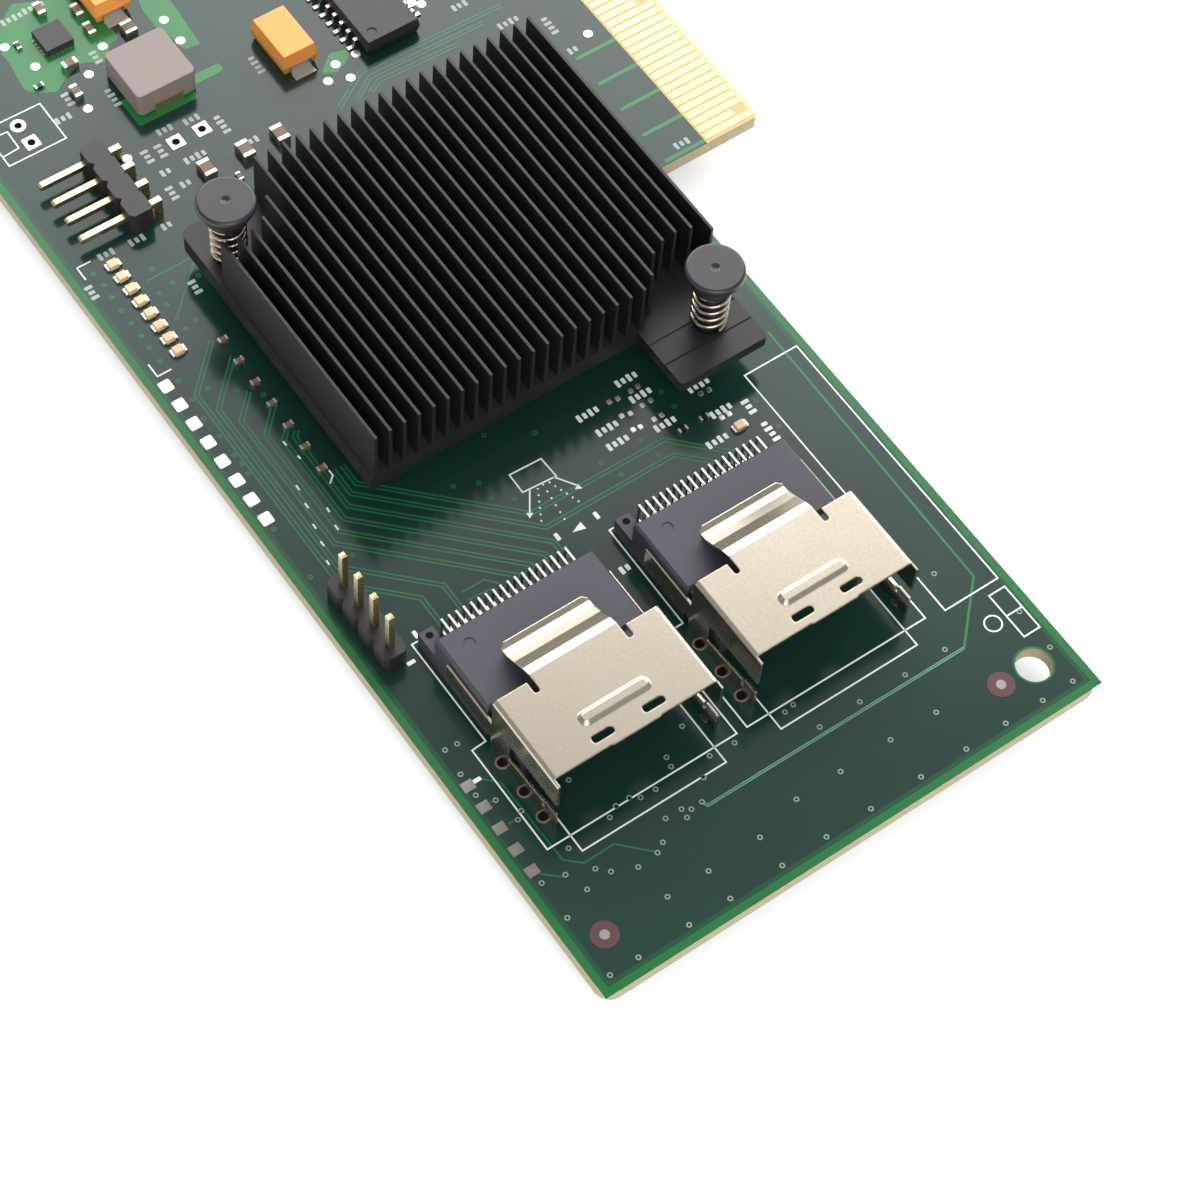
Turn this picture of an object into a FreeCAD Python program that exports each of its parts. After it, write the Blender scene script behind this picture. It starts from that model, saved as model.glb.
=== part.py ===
import FreeCAD, Part
import math
import os

from FreeCAD import Vector

# Low-profile eight-lane disk controller card, component side up.
#
# Millimetres. The origin is the centre of the edge connector's key notch, at the
# end of the contact tongue and midway through the board. +X runs to the card's
# free end, where the two drive cable ports are. +Y points into the slot. +Z
# points out of the component side.
#
# Places on the board are given as two distances: from the free end and from the
# top edge. Heights are given above the component face.

# ---- board ----
card_length = 167.65            # free end to bracket end
card_height = 68.90             # top edge to the end of the tongue
key_to_free_end = 109.53        # key notch centre to the free end
board_thickness = 1.57
board_corner_radius = 1.6
tongue_depth = 12.90            # tongue's length out of the board's long edge
key_width = 1.90
key_depth = 8.40
tongue_short_part = 11.65       # from the key notch towards the bracket
tongue_long_part = 38.65        # from the key notch towards the free end
tongue_bevel_length = 0.60
tongue_bevel_depth = 0.35
tongue_corner_cut = 0.60
mount_hole_radius = 1.75
mount_hole_from_end = 4.96
mount_hole_from_top = 51.86
small_hole_sides = 8            # small plated holes are drawn with flat sides

# ---- edge contacts ----
contact_pitch = 1.00
contact_width = 0.70
contact_thickness = 0.05
contact_length = 5.80
contact_short_length = 4.25     # presence-detect contacts
contact_end_margin = 0.02       # bare gap between contact and bevel
contacts_before_key = 11
contacts_after_key = 38

# ---- controller chip, thermal pad, heatsink ----
chip_side = 25.0
chip_body_height = 1.5
chip_lid_side = 21.0
chip_lid_height = 0.9
chip_from_end = 69.10
chip_from_top = 31.00
pad_side = 21.0
pad_thickness = 0.30
sink_base_thickness = 2.00
sink_fin_height = 6.40
sink_fin_thickness = 0.48       # at the base; the fins taper to their tops
sink_fin_top_thickness = 0.30
sink_fin_pitch = 1.582
sink_fin_count = 26
sink_edge_ledge = 0.32          # base beyond the outer fin's face
sink_fin_length = 33.00
sink_front_from_end = 52.70
sink_back_ledge = 0.60
sink_first_fin_from_top = 11.15
sink_corner_radius = 1.2
sink_pocket_radius = 4.72       # cutter that clears the fins round a pin
sink_pocket_offset = 1.87       # pocket's round end, behind the pin's axis
ear_reach = 7.30                # ear beyond the fins' front
ear_width = 10.25
ear_thickness = 1.30
ear_outer_margin = 0.30         # ear's side, inside the base's side
ear_line_depth = 0.10           # machined lines across the ear
ear_line_width = 0.25
ear_lines_from_fins = (1.90, 4.55)

# ---- push pins and springs ----
pin_cap_radius = 2.92
pin_cap_face_radius = 2.72
pin_cap_bevel = 0.30
pin_cap_rim = 0.55
pin_cap_taper = 1.05            # slope under the rim, down to the collar
pin_dimple_radius = 0.45
pin_dimple_depth = 0.15
pin_shoulder_radius = 2.05
pin_shoulder_height = 0.80
pin_shaft_radius = 1.20
pin_hole_clearance = 0.30       # shaft to the holes it passes
pin_barb_overhang = 0.35        # barb beyond the board's hole
pin_barb_length = 2.40
pin_barb_gap = 0.05             # barb's shoulder below the board
pin_tip_radius = 0.70
pin_slot_width = 0.50
spring_wire = 0.50
spring_wire_sides = 6
spring_steps = 10               # sections to a turn
spring_shaft_clearance = 0.18
spring_free_height = 6.00       # fitted length, seat to shoulder
spring_turns = 5
spring_seat_gap = 0.02
front_pin_from_end = 50.00
front_pin_from_top = 47.15
rear_pin_from_end = 81.30
rear_pin_from_top = 13.20

# ---- drive cable ports ----
port_count = 2
port_pitch = 21.95
first_port_from_top = 14.55     # first port's centre line
shell_width = 17.95
shell_height = 8.20
shell_sheet = 0.30
shell_bend_radius = 0.45
shell_top_front = 16.65         # distances from the free end
shell_wall_front = 15.80
shell_back = 25.80
shell_front_step = 0.15         # the walls' front, below the roof
shell_front_lip = 0.12
shell_front_lip_width = 5.15
side_slot_back = 23.00          # the stepped slot in each side wall
side_slot_high = 4.50
side_slot_low_back = 1.80
side_slot_low_front = 2.40
hook_gap_back = 17.75
hook_gap_front = 17.40
hook_gap_low = 1.60
side_foot_top = 2.80            # the wall's front foot
arm_back = 32.90                # side arms beside the moulded body
arm_low = 1.80
arm_high = 4.15
tab_half_width = 4.75           # rear tab between the two notches
notch_width = 0.60
notch_depth = 1.35
tab_bend_start = 26.40
tab_fall = ((27.30, 0.35), (28.60, 1.15), (29.70, 1.70), (30.40, 1.78), (30.98, 1.50))
tab_corner_cut = 0.45
rib_from_end = 20.00
rib_length = 7.60
rib_width = 1.60
rib_height = 0.35
rib_slope = 0.40                # how far the rib's sides lean in
latch_slot_from_end = 17.88
latch_slot_length = 2.30
latch_slot_width = 0.78
latch_slot_corner = 0.30
latch_slot_spacing = 5.48
shell_tail_width = 0.40
shell_tail_from_end = 23.80
shell_tail_below = 0.60
tooling_hole_radius = 0.50
tooling_hole_offset = 0.10      # hole's centre, outside the wall's outer face
tooling_holes_from_end = (23.80, 20.34, 17.37)
housing_shell_gap = 0.05
housing_back = 35.30
housing_front = 26.90
housing_height = 5.00
housing_rest_half_width = 4.30
housing_rest_back = 30.70
housing_rest_front = 28.90
housing_ear_back = 38.00        # mounting ear at the body's rear corner
housing_ear_width = 1.60
housing_ear_height = 2.00
housing_ear_hole_radius = 0.35
housing_rest_gap = 0.02
nose_front = 22.00
nose_height = 4.60
nose_side_gap = 0.30
card_slot_low = 2.00
card_slot_height = 1.10
card_slot_width = 14.20
card_slot_depth = 6.50
housing_edge_cut = 0.25
mould_mark_radius = 0.55
mould_mark_depth = 0.08
port_lead_count = 18
port_lead_pitch = 0.80
port_lead_width = 0.22
port_lead_thickness = 0.20
port_lead_height = 4.50         # top face of the lead's level run
port_lead_reach = 1.70
port_lead_foot = 0.90
solder_gap = 0.02               # lead's foot above the board

# ---- pin headers ----
header_pitch = 2.54
header_pins = 4
header_pin = 0.64
header_pin_taper = 0.25
header_block = 2.50
header_corner_cut = 0.45
header_hole_radius = 0.51
header_tail = 2.60              # pin below the component face
upright_from_end = 38.19        # last pin, towards the free end
upright_from_top = 3.02
upright_pin_top = 7.98
side_from_end = 92.59
side_pin_tip_from_top = 3.06
side_block_from_top = 8.23
side_block_height = 2.80
side_pin_height = 1.55
side_leg_from_top = 11.90
side_step_depth = 0.20
side_step_height = 1.10

# ---- power parts ----
inductor_from_end = 106.66
inductor_from_top = 19.65
inductor_side = 6.70
inductor_height = 3.10
inductor_corner = 0.35
inductor_strap_width = 3.20
inductor_strap_thickness = 0.20
inductor_strap_height = 1.30
tantalum_length = 6.30
tantalum_width = 4.10
tantalum_height = 2.80
tantalum_draft = 0.25
tantalum_tab_width = 2.40
tantalum_tab_reach = 0.85
tantalum_tab_thickness = 0.15
tantalum_tab_height = 1.30
tantalums = ((103.00, 33.10), (118.90, 20.75))

# ---- small chips ----
chip_b_from_end = 103.90
chip_b_from_top = 42.80
chip_b_length = 12.80
chip_b_width = 6.30
chip_b_height = 2.00
chip_b_standoff = 0.15
chip_b_draft = 0.18
chip_b_leads = 8
chip_b_lead_pitch = 1.27
chip_b_lead_width = 0.42
chip_b_lead_thickness = 0.20
chip_b_lead_reach = 1.25
regulator_from_end = 116.50
regulator_from_top = 14.10
regulator_side = 3.10
regulator_height = 0.90
regulator_land_count = 5
regulator_land_pitch = 0.50
regulator_land_width = 0.25

# ---- status lights ----
light_count = 8
light_pitch = 1.713
light_first_from_end = 77.28
light_from_top = 4.70
light_length = 1.60
light_width = 0.85
light_lens_length = 0.95
light_lens_height = 0.60
light_base_height = 0.30
lone_light_from_end = 40.80
lone_light_from_top = 44.67

# ---- bracket ----
bracket_sheet = 0.86
bracket_gap = 0.90              # board's end to the bracket
bracket_height = 79.20
bracket_width = 18.42
bracket_below = 2.90            # bracket's edge below the board's middle
bracket_above_card = 4.60       # bracket's bend beyond the card's top edge
bracket_flange = 11.40
bracket_flange_slot = 4.40
bracket_tongue_width = 10.20
bracket_tongue_length = 8.00
bracket_corner_radius = 1.50
vent_count = 6
vent_width = 2.00
vent_length = 9.50
vent_pitch = 5.20
bracket_tab_length = 8.60
bracket_tab_width = 8.00
bracket_tabs_from_top = (8.50, 43.50)
screw_radius = 1.45
screw_head_radius = 2.70
screw_head_height = 1.60
screw_hole_clearance = 0.15
screw_from_bracket = 5.20
screw_past_tab = 0.60
screw_head_edge = 0.55
screw_recess_width = 0.60
screw_recess_length = 3.00
screw_recess_depth = 0.70

# ---- derived places ----
face_z = board_thickness / 2.0
under_z = -board_thickness / 2.0
free_end_x = key_to_free_end
bracket_end_x = key_to_free_end - card_length
top_y = -card_height
body_y = -tongue_depth
sink_bottom = chip_body_height + chip_lid_height + pad_thickness
sink_base_top = sink_bottom + sink_base_thickness
sink_fin_top = sink_base_top + sink_fin_height
sink_side_top = sink_first_fin_from_top - sink_fin_thickness / 2.0 - sink_edge_ledge
sink_side_slot = (sink_first_fin_from_top + (sink_fin_count - 1) * sink_fin_pitch
                  + sink_fin_thickness / 2.0 + sink_edge_ledge)
sink_back_from_end = sink_front_from_end + sink_fin_length + sink_back_ledge
pin_hole_radius = pin_shaft_radius + pin_hole_clearance
spring_radius = pin_shaft_radius + spring_shaft_clearance + spring_wire / 2.0


def place_x(from_end):
    """Row X of a place given by its distance from the free end."""
    return free_end_x - from_end


def place_y(from_top):
    """Row Y of a place given by its distance from the top edge."""
    return top_y + from_top


def above(height):
    """Row Z of a height above the component face."""
    return face_z + height


def box(x0, x1, y0, y1, z0, z1):
    """Block between two corners, in row coordinates."""
    size = (abs(x1 - x0), abs(y1 - y0), abs(z1 - z0))
    return Part.makeBox(size[0], size[1], size[2], Vector(min(x0, x1), min(y0, y1), min(z0, z1)))


def rod(x, y, z0, z1, radius):
    """Upright cylinder."""
    return Part.makeCylinder(radius, z1 - z0, Vector(x, y, z0), Vector(0, 0, 1))


def prism(points, along):
    """Solid from a closed outline of points, pushed along a vector."""
    loop = [Vector(*p) for p in points]
    loop.append(loop[0])
    return Part.Face(Part.makePolygon(loop)).extrude(Vector(*along))


def flat_prism(outline, z0, z1):
    """Solid from an outline in X and Y."""
    return prism([(x, y, z0) for x, y in outline], (0, 0, z1 - z0))


def side_prism(outline, y0, y1):
    """Solid from an outline in X and Z, between two Y planes."""
    return prism([(x, y0, z) for x, z in outline], (0, y1 - y0, 0))


def end_prism(outline, x0, x1):
    """Solid from an outline in Y and Z, between two X planes."""
    return prism([(x0, y, z) for y, z in outline], (x1 - x0, 0, 0))


def upright_edges(shape, corners, reach=0.05):
    """The upright edges of a shape that stand on the given X, Y corners."""
    found = []
    for edge in shape.Edges:
        if len(edge.Vertexes) != 2:
            continue
        a = edge.Vertexes[0].Point
        b = edge.Vertexes[1].Point
        if abs(a.x - b.x) > 1e-6 or abs(a.y - b.y) > 1e-6:
            continue
        if any(math.hypot(a.x - x, a.y - y) < reach for x, y in corners):
            found.append(edge)
    return found


def rounded_outline(x, y, length_x, length_y, radius, steps=3):
    """Rectangle with round corners, as outline points about a centre."""
    points = []
    for corner, (sx, sy) in enumerate(((1, 1), (-1, 1), (-1, -1), (1, -1))):
        centre_x = x + sx * (length_x / 2.0 - radius)
        centre_y = y + sy * (length_y / 2.0 - radius)
        for i in range(steps + 1):
            angle = math.radians(90.0 * (corner + i / steps))
            points.append((centre_x + radius * math.cos(angle), centre_y + radius * math.sin(angle)))
    return points


def faceted_rod(x, y, z0, z1, radius, sides):
    """Upright rod with flat sides, none of them nearer the axis than the radius."""
    reach = radius / math.cos(math.pi / sides)
    turns = [2.0 * math.pi * (i + 0.5) / sides for i in range(sides)]
    return flat_prism([(x + reach * math.cos(a), y + reach * math.sin(a)) for a in turns], z0, z1)


def turned(x, y, profile):
    """Solid of revolution about an upright axis, from radius and height pairs."""
    loop = [Vector(x + r, y, above(h)) for r, h in profile]
    loop.append(loop[0])
    return Part.Face(Part.makePolygon(loop)).revolve(Vector(x, y, 0), Vector(0, 0, 1), 360)


def strip(path, thickness, width, x_dir, y_dir, origin):
    """Flat strip bent along a path of (run, height) points, centred on its width.

    The path is the strip's outer face; the metal lies on its inner side. Runs are
    measured from the origin along (x_dir, y_dir).
    """
    inner = []
    for i, point in enumerate(path):
        before = path[max(i - 1, 0)]
        after = path[min(i + 1, len(path) - 1)]
        normals = []
        for a, b in ((before, point), (point, after)):
            run = (b[0] - a[0], b[1] - a[1])
            size = math.hypot(*run)
            if size > 1e-9:
                normals.append((run[1] / size, -run[0] / size))
        nx = sum(n[0] for n in normals)
        nz = sum(n[1] for n in normals)
        scale = thickness / (nx * normals[0][0] + nz * normals[0][1])
        inner.append((point[0] + nx * scale, point[1] + nz * scale))
    outline = list(path) + inner[::-1]
    across = (-y_dir, x_dir)
    points = []
    for run, height in outline:
        points.append((origin[0] + run * x_dir - across[0] * width / 2.0,
                       origin[1] + run * y_dir - across[1] * width / 2.0,
                       origin[2] + height))
    return prism(points, (across[0] * width, across[1] * width, 0))


def save(name, solids):
    """Write one solid, or a group of separate solids, as a node."""
    shape = solids
    if isinstance(solids, (list, tuple)):
        shape = solids[0] if len(solids) == 1 else Part.makeCompound(list(solids))
    shape.exportStep("parts/%s.step" % name)


# ---------------------------------------------------------------- places
def pin_places():
    """The two push pins' axes."""
    return ((place_x(front_pin_from_end), place_y(front_pin_from_top)),
            (place_x(rear_pin_from_end), place_y(rear_pin_from_top)))


def port_centres():
    """Each port's centre line, row Y."""
    return [place_y(first_port_from_top + i * port_pitch) for i in range(port_count)]


def tail_places(centre):
    """The shell's two soldered tails: X, Y of the sheet's middle."""
    half = shell_width / 2.0 - shell_sheet / 2.0
    x = place_x(shell_tail_from_end)
    return ((x, centre - half), (x, centre + half))


def tooling_places(centre):
    """Plated holes under the shell's two walls."""
    half = shell_width / 2.0
    places = []
    for from_end in tooling_holes_from_end:
        for side in (-1, 1):
            places.append((place_x(from_end), centre + side * (half + tooling_hole_offset)))
    return places


def upright_places():
    """Pins of the upright header."""
    y = place_y(upright_from_top)
    return [(place_x(upright_from_end) - i * header_pitch, y) for i in range(header_pins)]


def side_places():
    """Legs of the side header, where they enter the board."""
    y = place_y(side_leg_from_top)
    return [(place_x(side_from_end) - i * header_pitch, y) for i in range(header_pins)]


def screw_places():
    """The two bracket screws."""
    x = bracket_end_x - bracket_gap + screw_from_bracket
    return [(x, place_y(t + bracket_tab_width / 2.0)) for t in bracket_tabs_from_top]


# ---------------------------------------------------------------- board
def make_board():
    """Board outline with its tongue, key notch, bevel and working holes."""
    right = tongue_long_part + key_width / 2.0
    left = -tongue_short_part - key_width / 2.0
    half_key = key_width / 2.0
    cut = tongue_corner_cut
    outline = [(bracket_end_x, top_y), (free_end_x, top_y), (free_end_x, body_y), (right, body_y),
               (right, -cut), (right - cut, 0.0), (half_key, 0.0), (half_key, -key_depth + half_key)]
    outline += [(-half_key, -key_depth + half_key), (-half_key, 0.0), (left + cut, 0.0), (left, -cut),
                (left, body_y), (bracket_end_x, body_y)]
    board = flat_prism(outline, under_z, face_z)
    corners = [(bracket_end_x, top_y), (free_end_x, top_y), (free_end_x, body_y), (bracket_end_x, body_y)]
    board = board.makeFillet(board_corner_radius, upright_edges(board, corners))
    cutters = [rod(0.0, -key_depth + half_key, under_z, face_z, half_key)]
    for side in (-1, 1):
        z = side * face_z
        slope = [(0.0, z - side * tongue_bevel_depth), (0.0, z), (-tongue_bevel_length, z)]
        cutters.append(end_prism(slope, left - 1.0, right + 1.0))
    cutters.append(rod(place_x(mount_hole_from_end), place_y(mount_hole_from_top), under_z, face_z,
                       mount_hole_radius))
    for x, y in pin_places():
        cutters.append(rod(x, y, under_z, face_z, pin_hole_radius))
    for centre in port_centres():
        for x, y in tooling_places(centre):
            cutters.append(faceted_rod(x, y, under_z, face_z, tooling_hole_radius, small_hole_sides))
    for x, y in upright_places() + side_places():
        cutters.append(faceted_rod(x, y, under_z, face_z, header_hole_radius, small_hole_sides))
    for x, y in screw_places():
        cutters.append(rod(x, y, under_z, face_z, screw_radius + screw_hole_clearance))
    return board.cut(Part.makeCompound(cutters))


def make_contacts(side, short_ones):
    """The gold contacts of one face: +1 component side, -1 solder side."""
    z0 = side * face_z
    z1 = side * (face_z + contact_thickness)
    end = -tongue_bevel_length - contact_end_margin
    first = key_width / 2.0 + (tongue_long_part - (contacts_after_key - 1) * contact_pitch) / 2.0
    last = key_width / 2.0 + (tongue_short_part - (contacts_before_key - 1) * contact_pitch) / 2.0
    centres = [-last - (contacts_before_key - 1 - i) * contact_pitch for i in range(contacts_before_key)]
    centres += [first + i * contact_pitch for i in range(contacts_after_key)]
    pads = []
    for number, x in enumerate(centres, start=1):
        tip = end - (contact_length - contact_short_length) if number in short_ones else end
        pads.append(box(x - contact_width / 2.0, x + contact_width / 2.0, end - contact_length, tip, z0, z1))
    return pads


# ---------------------------------------------------------------- heat sink
def fin_span(y):
    """Where a fin starts and ends: each pin clears a lane with a round end."""
    x_front = place_x(sink_front_from_end)
    span = [x_front - sink_fin_length, x_front]
    for (pin_x, pin_y), end in zip(pin_places(), (1, 0)):
        reach = sink_pocket_radius ** 2 - (y - pin_y) ** 2
        if reach > 0.0:
            direction = 1 if end else -1
            span[end] = pin_x - sink_pocket_offset - direction * math.sqrt(reach)
    return span


def make_heatsink():
    """Extruded comb of tapered fins on a base, with one pin ear and two pin pockets."""
    x_front = place_x(sink_front_from_end)
    x_back = place_x(sink_back_from_end)
    y_top = place_y(sink_side_top)
    y_slot = place_y(sink_side_slot)
    base = box(x_back, x_front, y_top, y_slot, above(sink_bottom), above(sink_base_top))
    base = base.makeFillet(sink_corner_radius, upright_edges(base, [(x_back, y_top), (x_back, y_slot)]))
    low = above(sink_base_top)
    high = above(sink_fin_top)
    foot = sink_fin_thickness / 2.0
    tip = sink_fin_top_thickness / 2.0
    comb = []
    for i in range(sink_fin_count):
        y = place_y(sink_first_fin_from_top + i * sink_fin_pitch)
        section = [(y - foot, low), (y - tip, high), (y + tip, high), (y + foot, low)]
        comb.append(end_prism(section, *fin_span(y)))
    ear_y = y_slot - ear_outer_margin
    ear_front = x_front + ear_reach
    ear = box(x_front, ear_front, ear_y - ear_width, ear_y,
              above(sink_base_top - ear_thickness), above(sink_base_top))
    corners = [(ear_front, ear_y), (ear_front, ear_y - ear_width)]
    ear = ear.makeChamfer(0.3, upright_edges(ear, corners))
    cutters = []
    for line in ear_lines_from_fins:
        cutters.append(box(x_front + line, x_front + line + ear_line_width, ear_y - ear_width - 1.0, ear_y + 1.0,
                           above(sink_base_top - ear_line_depth), above(sink_base_top) + 1.0))
    sink = base.multiFuse([ear] + comb)
    for x, y in pin_places():
        cutters.append(rod(x, y, above(sink_bottom) - 1.0, above(sink_base_top) + 1.0, pin_hole_radius))
    return sink.cut(Part.makeCompound(cutters)).removeSplitter()


def make_pin(x, y):
    """Sprung push pin: cap, collar, shaft and a split barbed tip."""
    shoulder = sink_base_top + spring_free_height
    collar = shoulder + pin_shoulder_height
    cap = collar + pin_cap_taper
    rim = cap + pin_cap_rim
    top = rim + pin_cap_bevel
    barb = pin_hole_radius + pin_barb_overhang
    barb_top = -board_thickness - pin_barb_gap
    body = turned(x, y, [
        (0.0, top - pin_dimple_depth), (pin_dimple_radius, top), (pin_cap_face_radius, top),
        (pin_cap_radius, rim), (pin_cap_radius, cap), (pin_shoulder_radius, collar),
        (pin_shoulder_radius, shoulder), (pin_shaft_radius, shoulder),
        (pin_shaft_radius, barb_top), (barb, barb_top), (barb, barb_top - 0.3),
        (pin_tip_radius, barb_top - pin_barb_length), (0.0, barb_top - pin_barb_length)])
    split = box(x - pin_slot_width / 2.0, x + pin_slot_width / 2.0, y - barb - 1.0, y + barb + 1.0,
                above(barb_top - pin_barb_length) - 1.0, above(-board_thickness / 2.0))
    return body.cut(split)


def make_spring(x, y):
    """Helical spring between the sink's seat and the pin's shoulder."""
    wire = spring_wire / 2.0
    low = sink_base_top + wire + spring_seat_gap
    rise = spring_free_height - spring_wire - 2 * spring_seat_gap
    count = spring_turns * spring_steps
    sections = []
    for i in range(count + 1):
        turn = 2.0 * math.pi * i / spring_steps
        loop = []
        for k in range(spring_wire_sides + 1):
            angle = 2.0 * math.pi * (k + 0.5) / spring_wire_sides
            reach = spring_radius + wire * math.cos(angle)
            height = low + rise * i / count + wire * math.sin(angle)
            loop.append(Vector(x + reach * math.cos(turn), y + reach * math.sin(turn), above(height)))
        sections.append(Part.makePolygon(loop))
    return Part.makeLoft(sections, True, True)


# ---------------------------------------------------------------- ports
def shell_outline(width, height, radius, foot):
    """Arch of the shell's section: straight walls, rounded upper corners."""
    half = width / 2.0
    low = Vector(0, -half, foot)
    up_left = Vector(0, -half, height - radius)
    over_left = Vector(0, -half + radius, height)
    over_right = Vector(0, half - radius, height)
    up_right = Vector(0, half, height - radius)
    foot_right = Vector(0, half, foot)
    bend = radius * (1.0 - math.sqrt(0.5))
    left_mid = Vector(0, -half + bend, height - bend)
    right_mid = Vector(0, half - bend, height - bend)
    edges = [Part.LineSegment(low, up_left), Part.Arc(up_left, left_mid, over_left),
             Part.LineSegment(over_left, over_right), Part.Arc(over_right, right_mid, up_right),
             Part.LineSegment(up_right, foot_right), Part.LineSegment(foot_right, low)]
    return Part.Face(Part.Wire([e.toShape() for e in edges]))


def rib_shape(x, inset, low, high):
    """Long bump with round corners and leaning sides, in the shell's local frame."""
    rings = []
    for lean, z in ((inset, low), (inset + rib_slope, high)):
        across = rib_width - 2 * lean
        ring = rounded_outline(x, 0.0, across, rib_length - 2 * lean, across * 0.4)
        rings.append(Part.makePolygon([Vector(px, py, z) for px, py in ring + ring[:1]]))
    return Part.makeLoft(rings, True, True)


def shell_tab():
    """Rear tab in the shell's local frame: a sheet that slopes down and turns up at its end."""
    top = shell_height
    line = [(place_x(shell_back), top), (place_x(tab_bend_start), top)]
    line += [(place_x(from_end), top - drop) for from_end, drop in tab_fall]
    outline = line + [(x, z - shell_sheet) for x, z in line[::-1]]
    tab = side_prism(outline, -tab_half_width, tab_half_width)
    end = place_x(tab_fall[-1][0])
    corners = []
    for side in (-1, 1):
        edge = side * tab_half_width
        corner = [(end - 0.1, edge + side * 0.1), (end + tab_corner_cut, edge + side * 0.1),
                  (end - 0.1, edge - side * (tab_corner_cut + 0.2))]
        corners.append(flat_prism(corner, 0.0, top + 1.0))
    return tab.cut(Part.makeCompound(corners))


def make_shell(centre):
    """Folded sheet-metal cage: roof, two slotted walls, rear tab, rib and latch slots."""
    x_back = place_x(shell_back)
    x_front = place_x(shell_wall_front)
    depth = x_front - x_back
    half = shell_width / 2.0
    inner_radius = max(shell_bend_radius - shell_sheet, 0.05)
    outer = shell_outline(shell_width, shell_height, shell_bend_radius, 0.0)
    inner = shell_outline(shell_width - 2 * shell_sheet, shell_height - shell_sheet, inner_radius, -1.0)
    shell = outer.extrude(Vector(depth, 0, 0)).cut(inner.extrude(Vector(depth, 0, 0)))

    # Local frame from here: X is row X, Y is measured from the centre line, Z from the face.
    shell.translate(Vector(x_back, 0, 0))
    wide = half + 1.0
    top = shell_height
    roof_front = place_x(shell_top_front)
    deep = top - 2 * shell_sheet
    inside = half - shell_sheet
    cutters = [box(roof_front, x_front + 1.0, -inside, inside, deep, top + 1.0),
               box(roof_front, x_front + 1.0, -wide, wide, top - shell_front_step, top + 1.0)]
    slot = [(side_slot_back, side_slot_high), (side_slot_back, side_slot_low_back),
            (hook_gap_back, side_slot_low_front), (hook_gap_back, hook_gap_low),
            (hook_gap_front, hook_gap_low), (hook_gap_front, side_foot_top),
            (shell_wall_front - 1.0, side_foot_top), (shell_wall_front - 1.0, side_slot_high)]
    cutters.append(side_prism([(place_x(e), h) for e, h in slot], -wide, wide))
    notch_x = x_back + notch_depth / 2.0
    for side in (-1, 1):
        notch_y = side * (tab_half_width + notch_width / 2.0)
        notch = rounded_outline(notch_x - 0.5, notch_y, notch_depth + 1.0, notch_width, notch_width * 0.45)
        cutters.append(flat_prism(notch, deep, top + 1.0))
        latch = rounded_outline(place_x(latch_slot_from_end), side * latch_slot_spacing / 2.0,
                                latch_slot_width, latch_slot_length, latch_slot_corner)
        cutters.append(flat_prism(latch, deep, top + 1.0))
    shell = shell.cut(Part.makeCompound(cutters))

    rib_x = place_x(rib_from_end)
    adds = [shell_tab(), rib_shape(rib_x, 0.0, top - 0.05, top + rib_height)]
    adds.append(box(roof_front - 0.1, roof_front + shell_front_lip, -shell_front_lip_width / 2.0,
                    shell_front_lip_width / 2.0, top - shell_sheet, top))
    tail_half = shell_tail_width / 2.0
    tail_x = place_x(shell_tail_from_end)
    for side in (-1, 1):
        wall = (side * half, side * (half - shell_sheet))
        adds.append(box(tail_x - tail_half, tail_x + tail_half, wall[0], wall[1],
                        -board_thickness - shell_tail_below, 0.1))
        adds.append(box(place_x(arm_back), x_back + 0.1, wall[0], wall[1], arm_low, arm_high))
    emboss = rib_shape(rib_x, rib_slope / 2.0, top - shell_sheet - 0.05, top)
    shell = shell.multiFuse(adds).cut(emboss).removeSplitter()
    shell.translate(Vector(0, centre, face_z))
    return shell


def lead_places(centre):
    """Row Y of each port lead."""
    first = centre - (port_lead_count - 1) * port_lead_pitch / 2.0
    return [first + i * port_lead_pitch for i in range(port_lead_count)]


def make_housing(centre):
    """Moulded port body: rear block, tab rest, and a nose with the card slot."""
    half = shell_width / 2.0 - shell_sheet - housing_shell_gap
    x_back = place_x(housing_back)
    x_step = place_x(housing_front)
    block = box(x_back, x_step, centre - half, centre + half, face_z, above(housing_height))
    rim = [e for e in block.Edges if e.BoundBox.ZMin > above(housing_height) - 1e-6]
    block = block.makeChamfer(housing_edge_cut, rim)
    lowest = max(drop for from_end, drop in tab_fall)
    rest_top = shell_height - lowest - shell_sheet - housing_rest_gap
    rest = box(place_x(housing_rest_back), place_x(housing_rest_front), centre - housing_rest_half_width,
               centre + housing_rest_half_width, above(housing_height - 1.0), above(rest_top))
    nose = box(x_step - 0.5, place_x(nose_front), centre - half + nose_side_gap, centre + half - nose_side_gap,
               face_z, above(nose_height))
    ear_side = centre - half
    ear = box(place_x(housing_ear_back), x_back + 1.0, ear_side, ear_side + housing_ear_width,
              face_z, above(housing_ear_height))
    body = block.multiFuse([rest, nose, ear])
    slot = box(place_x(nose_front) + 1.0, place_x(nose_front) - card_slot_depth,
               centre - card_slot_width / 2.0, centre + card_slot_width / 2.0,
               above(card_slot_low), above(card_slot_low + card_slot_height))
    mark = faceted_rod(x_back + 2.0, centre - half + 2.4, above(housing_height - mould_mark_depth),
                       above(housing_height) + 1.0, mould_mark_radius, small_hole_sides)
    dimple = faceted_rod(place_x(housing_ear_back) + 0.7, ear_side + housing_ear_width / 2.0,
                         above(housing_ear_height - 0.5), above(housing_ear_height) + 1.0,
                         housing_ear_hole_radius, small_hole_sides)
    return body.cut(Part.makeCompound([slot, mark, dimple])).removeSplitter()


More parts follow.
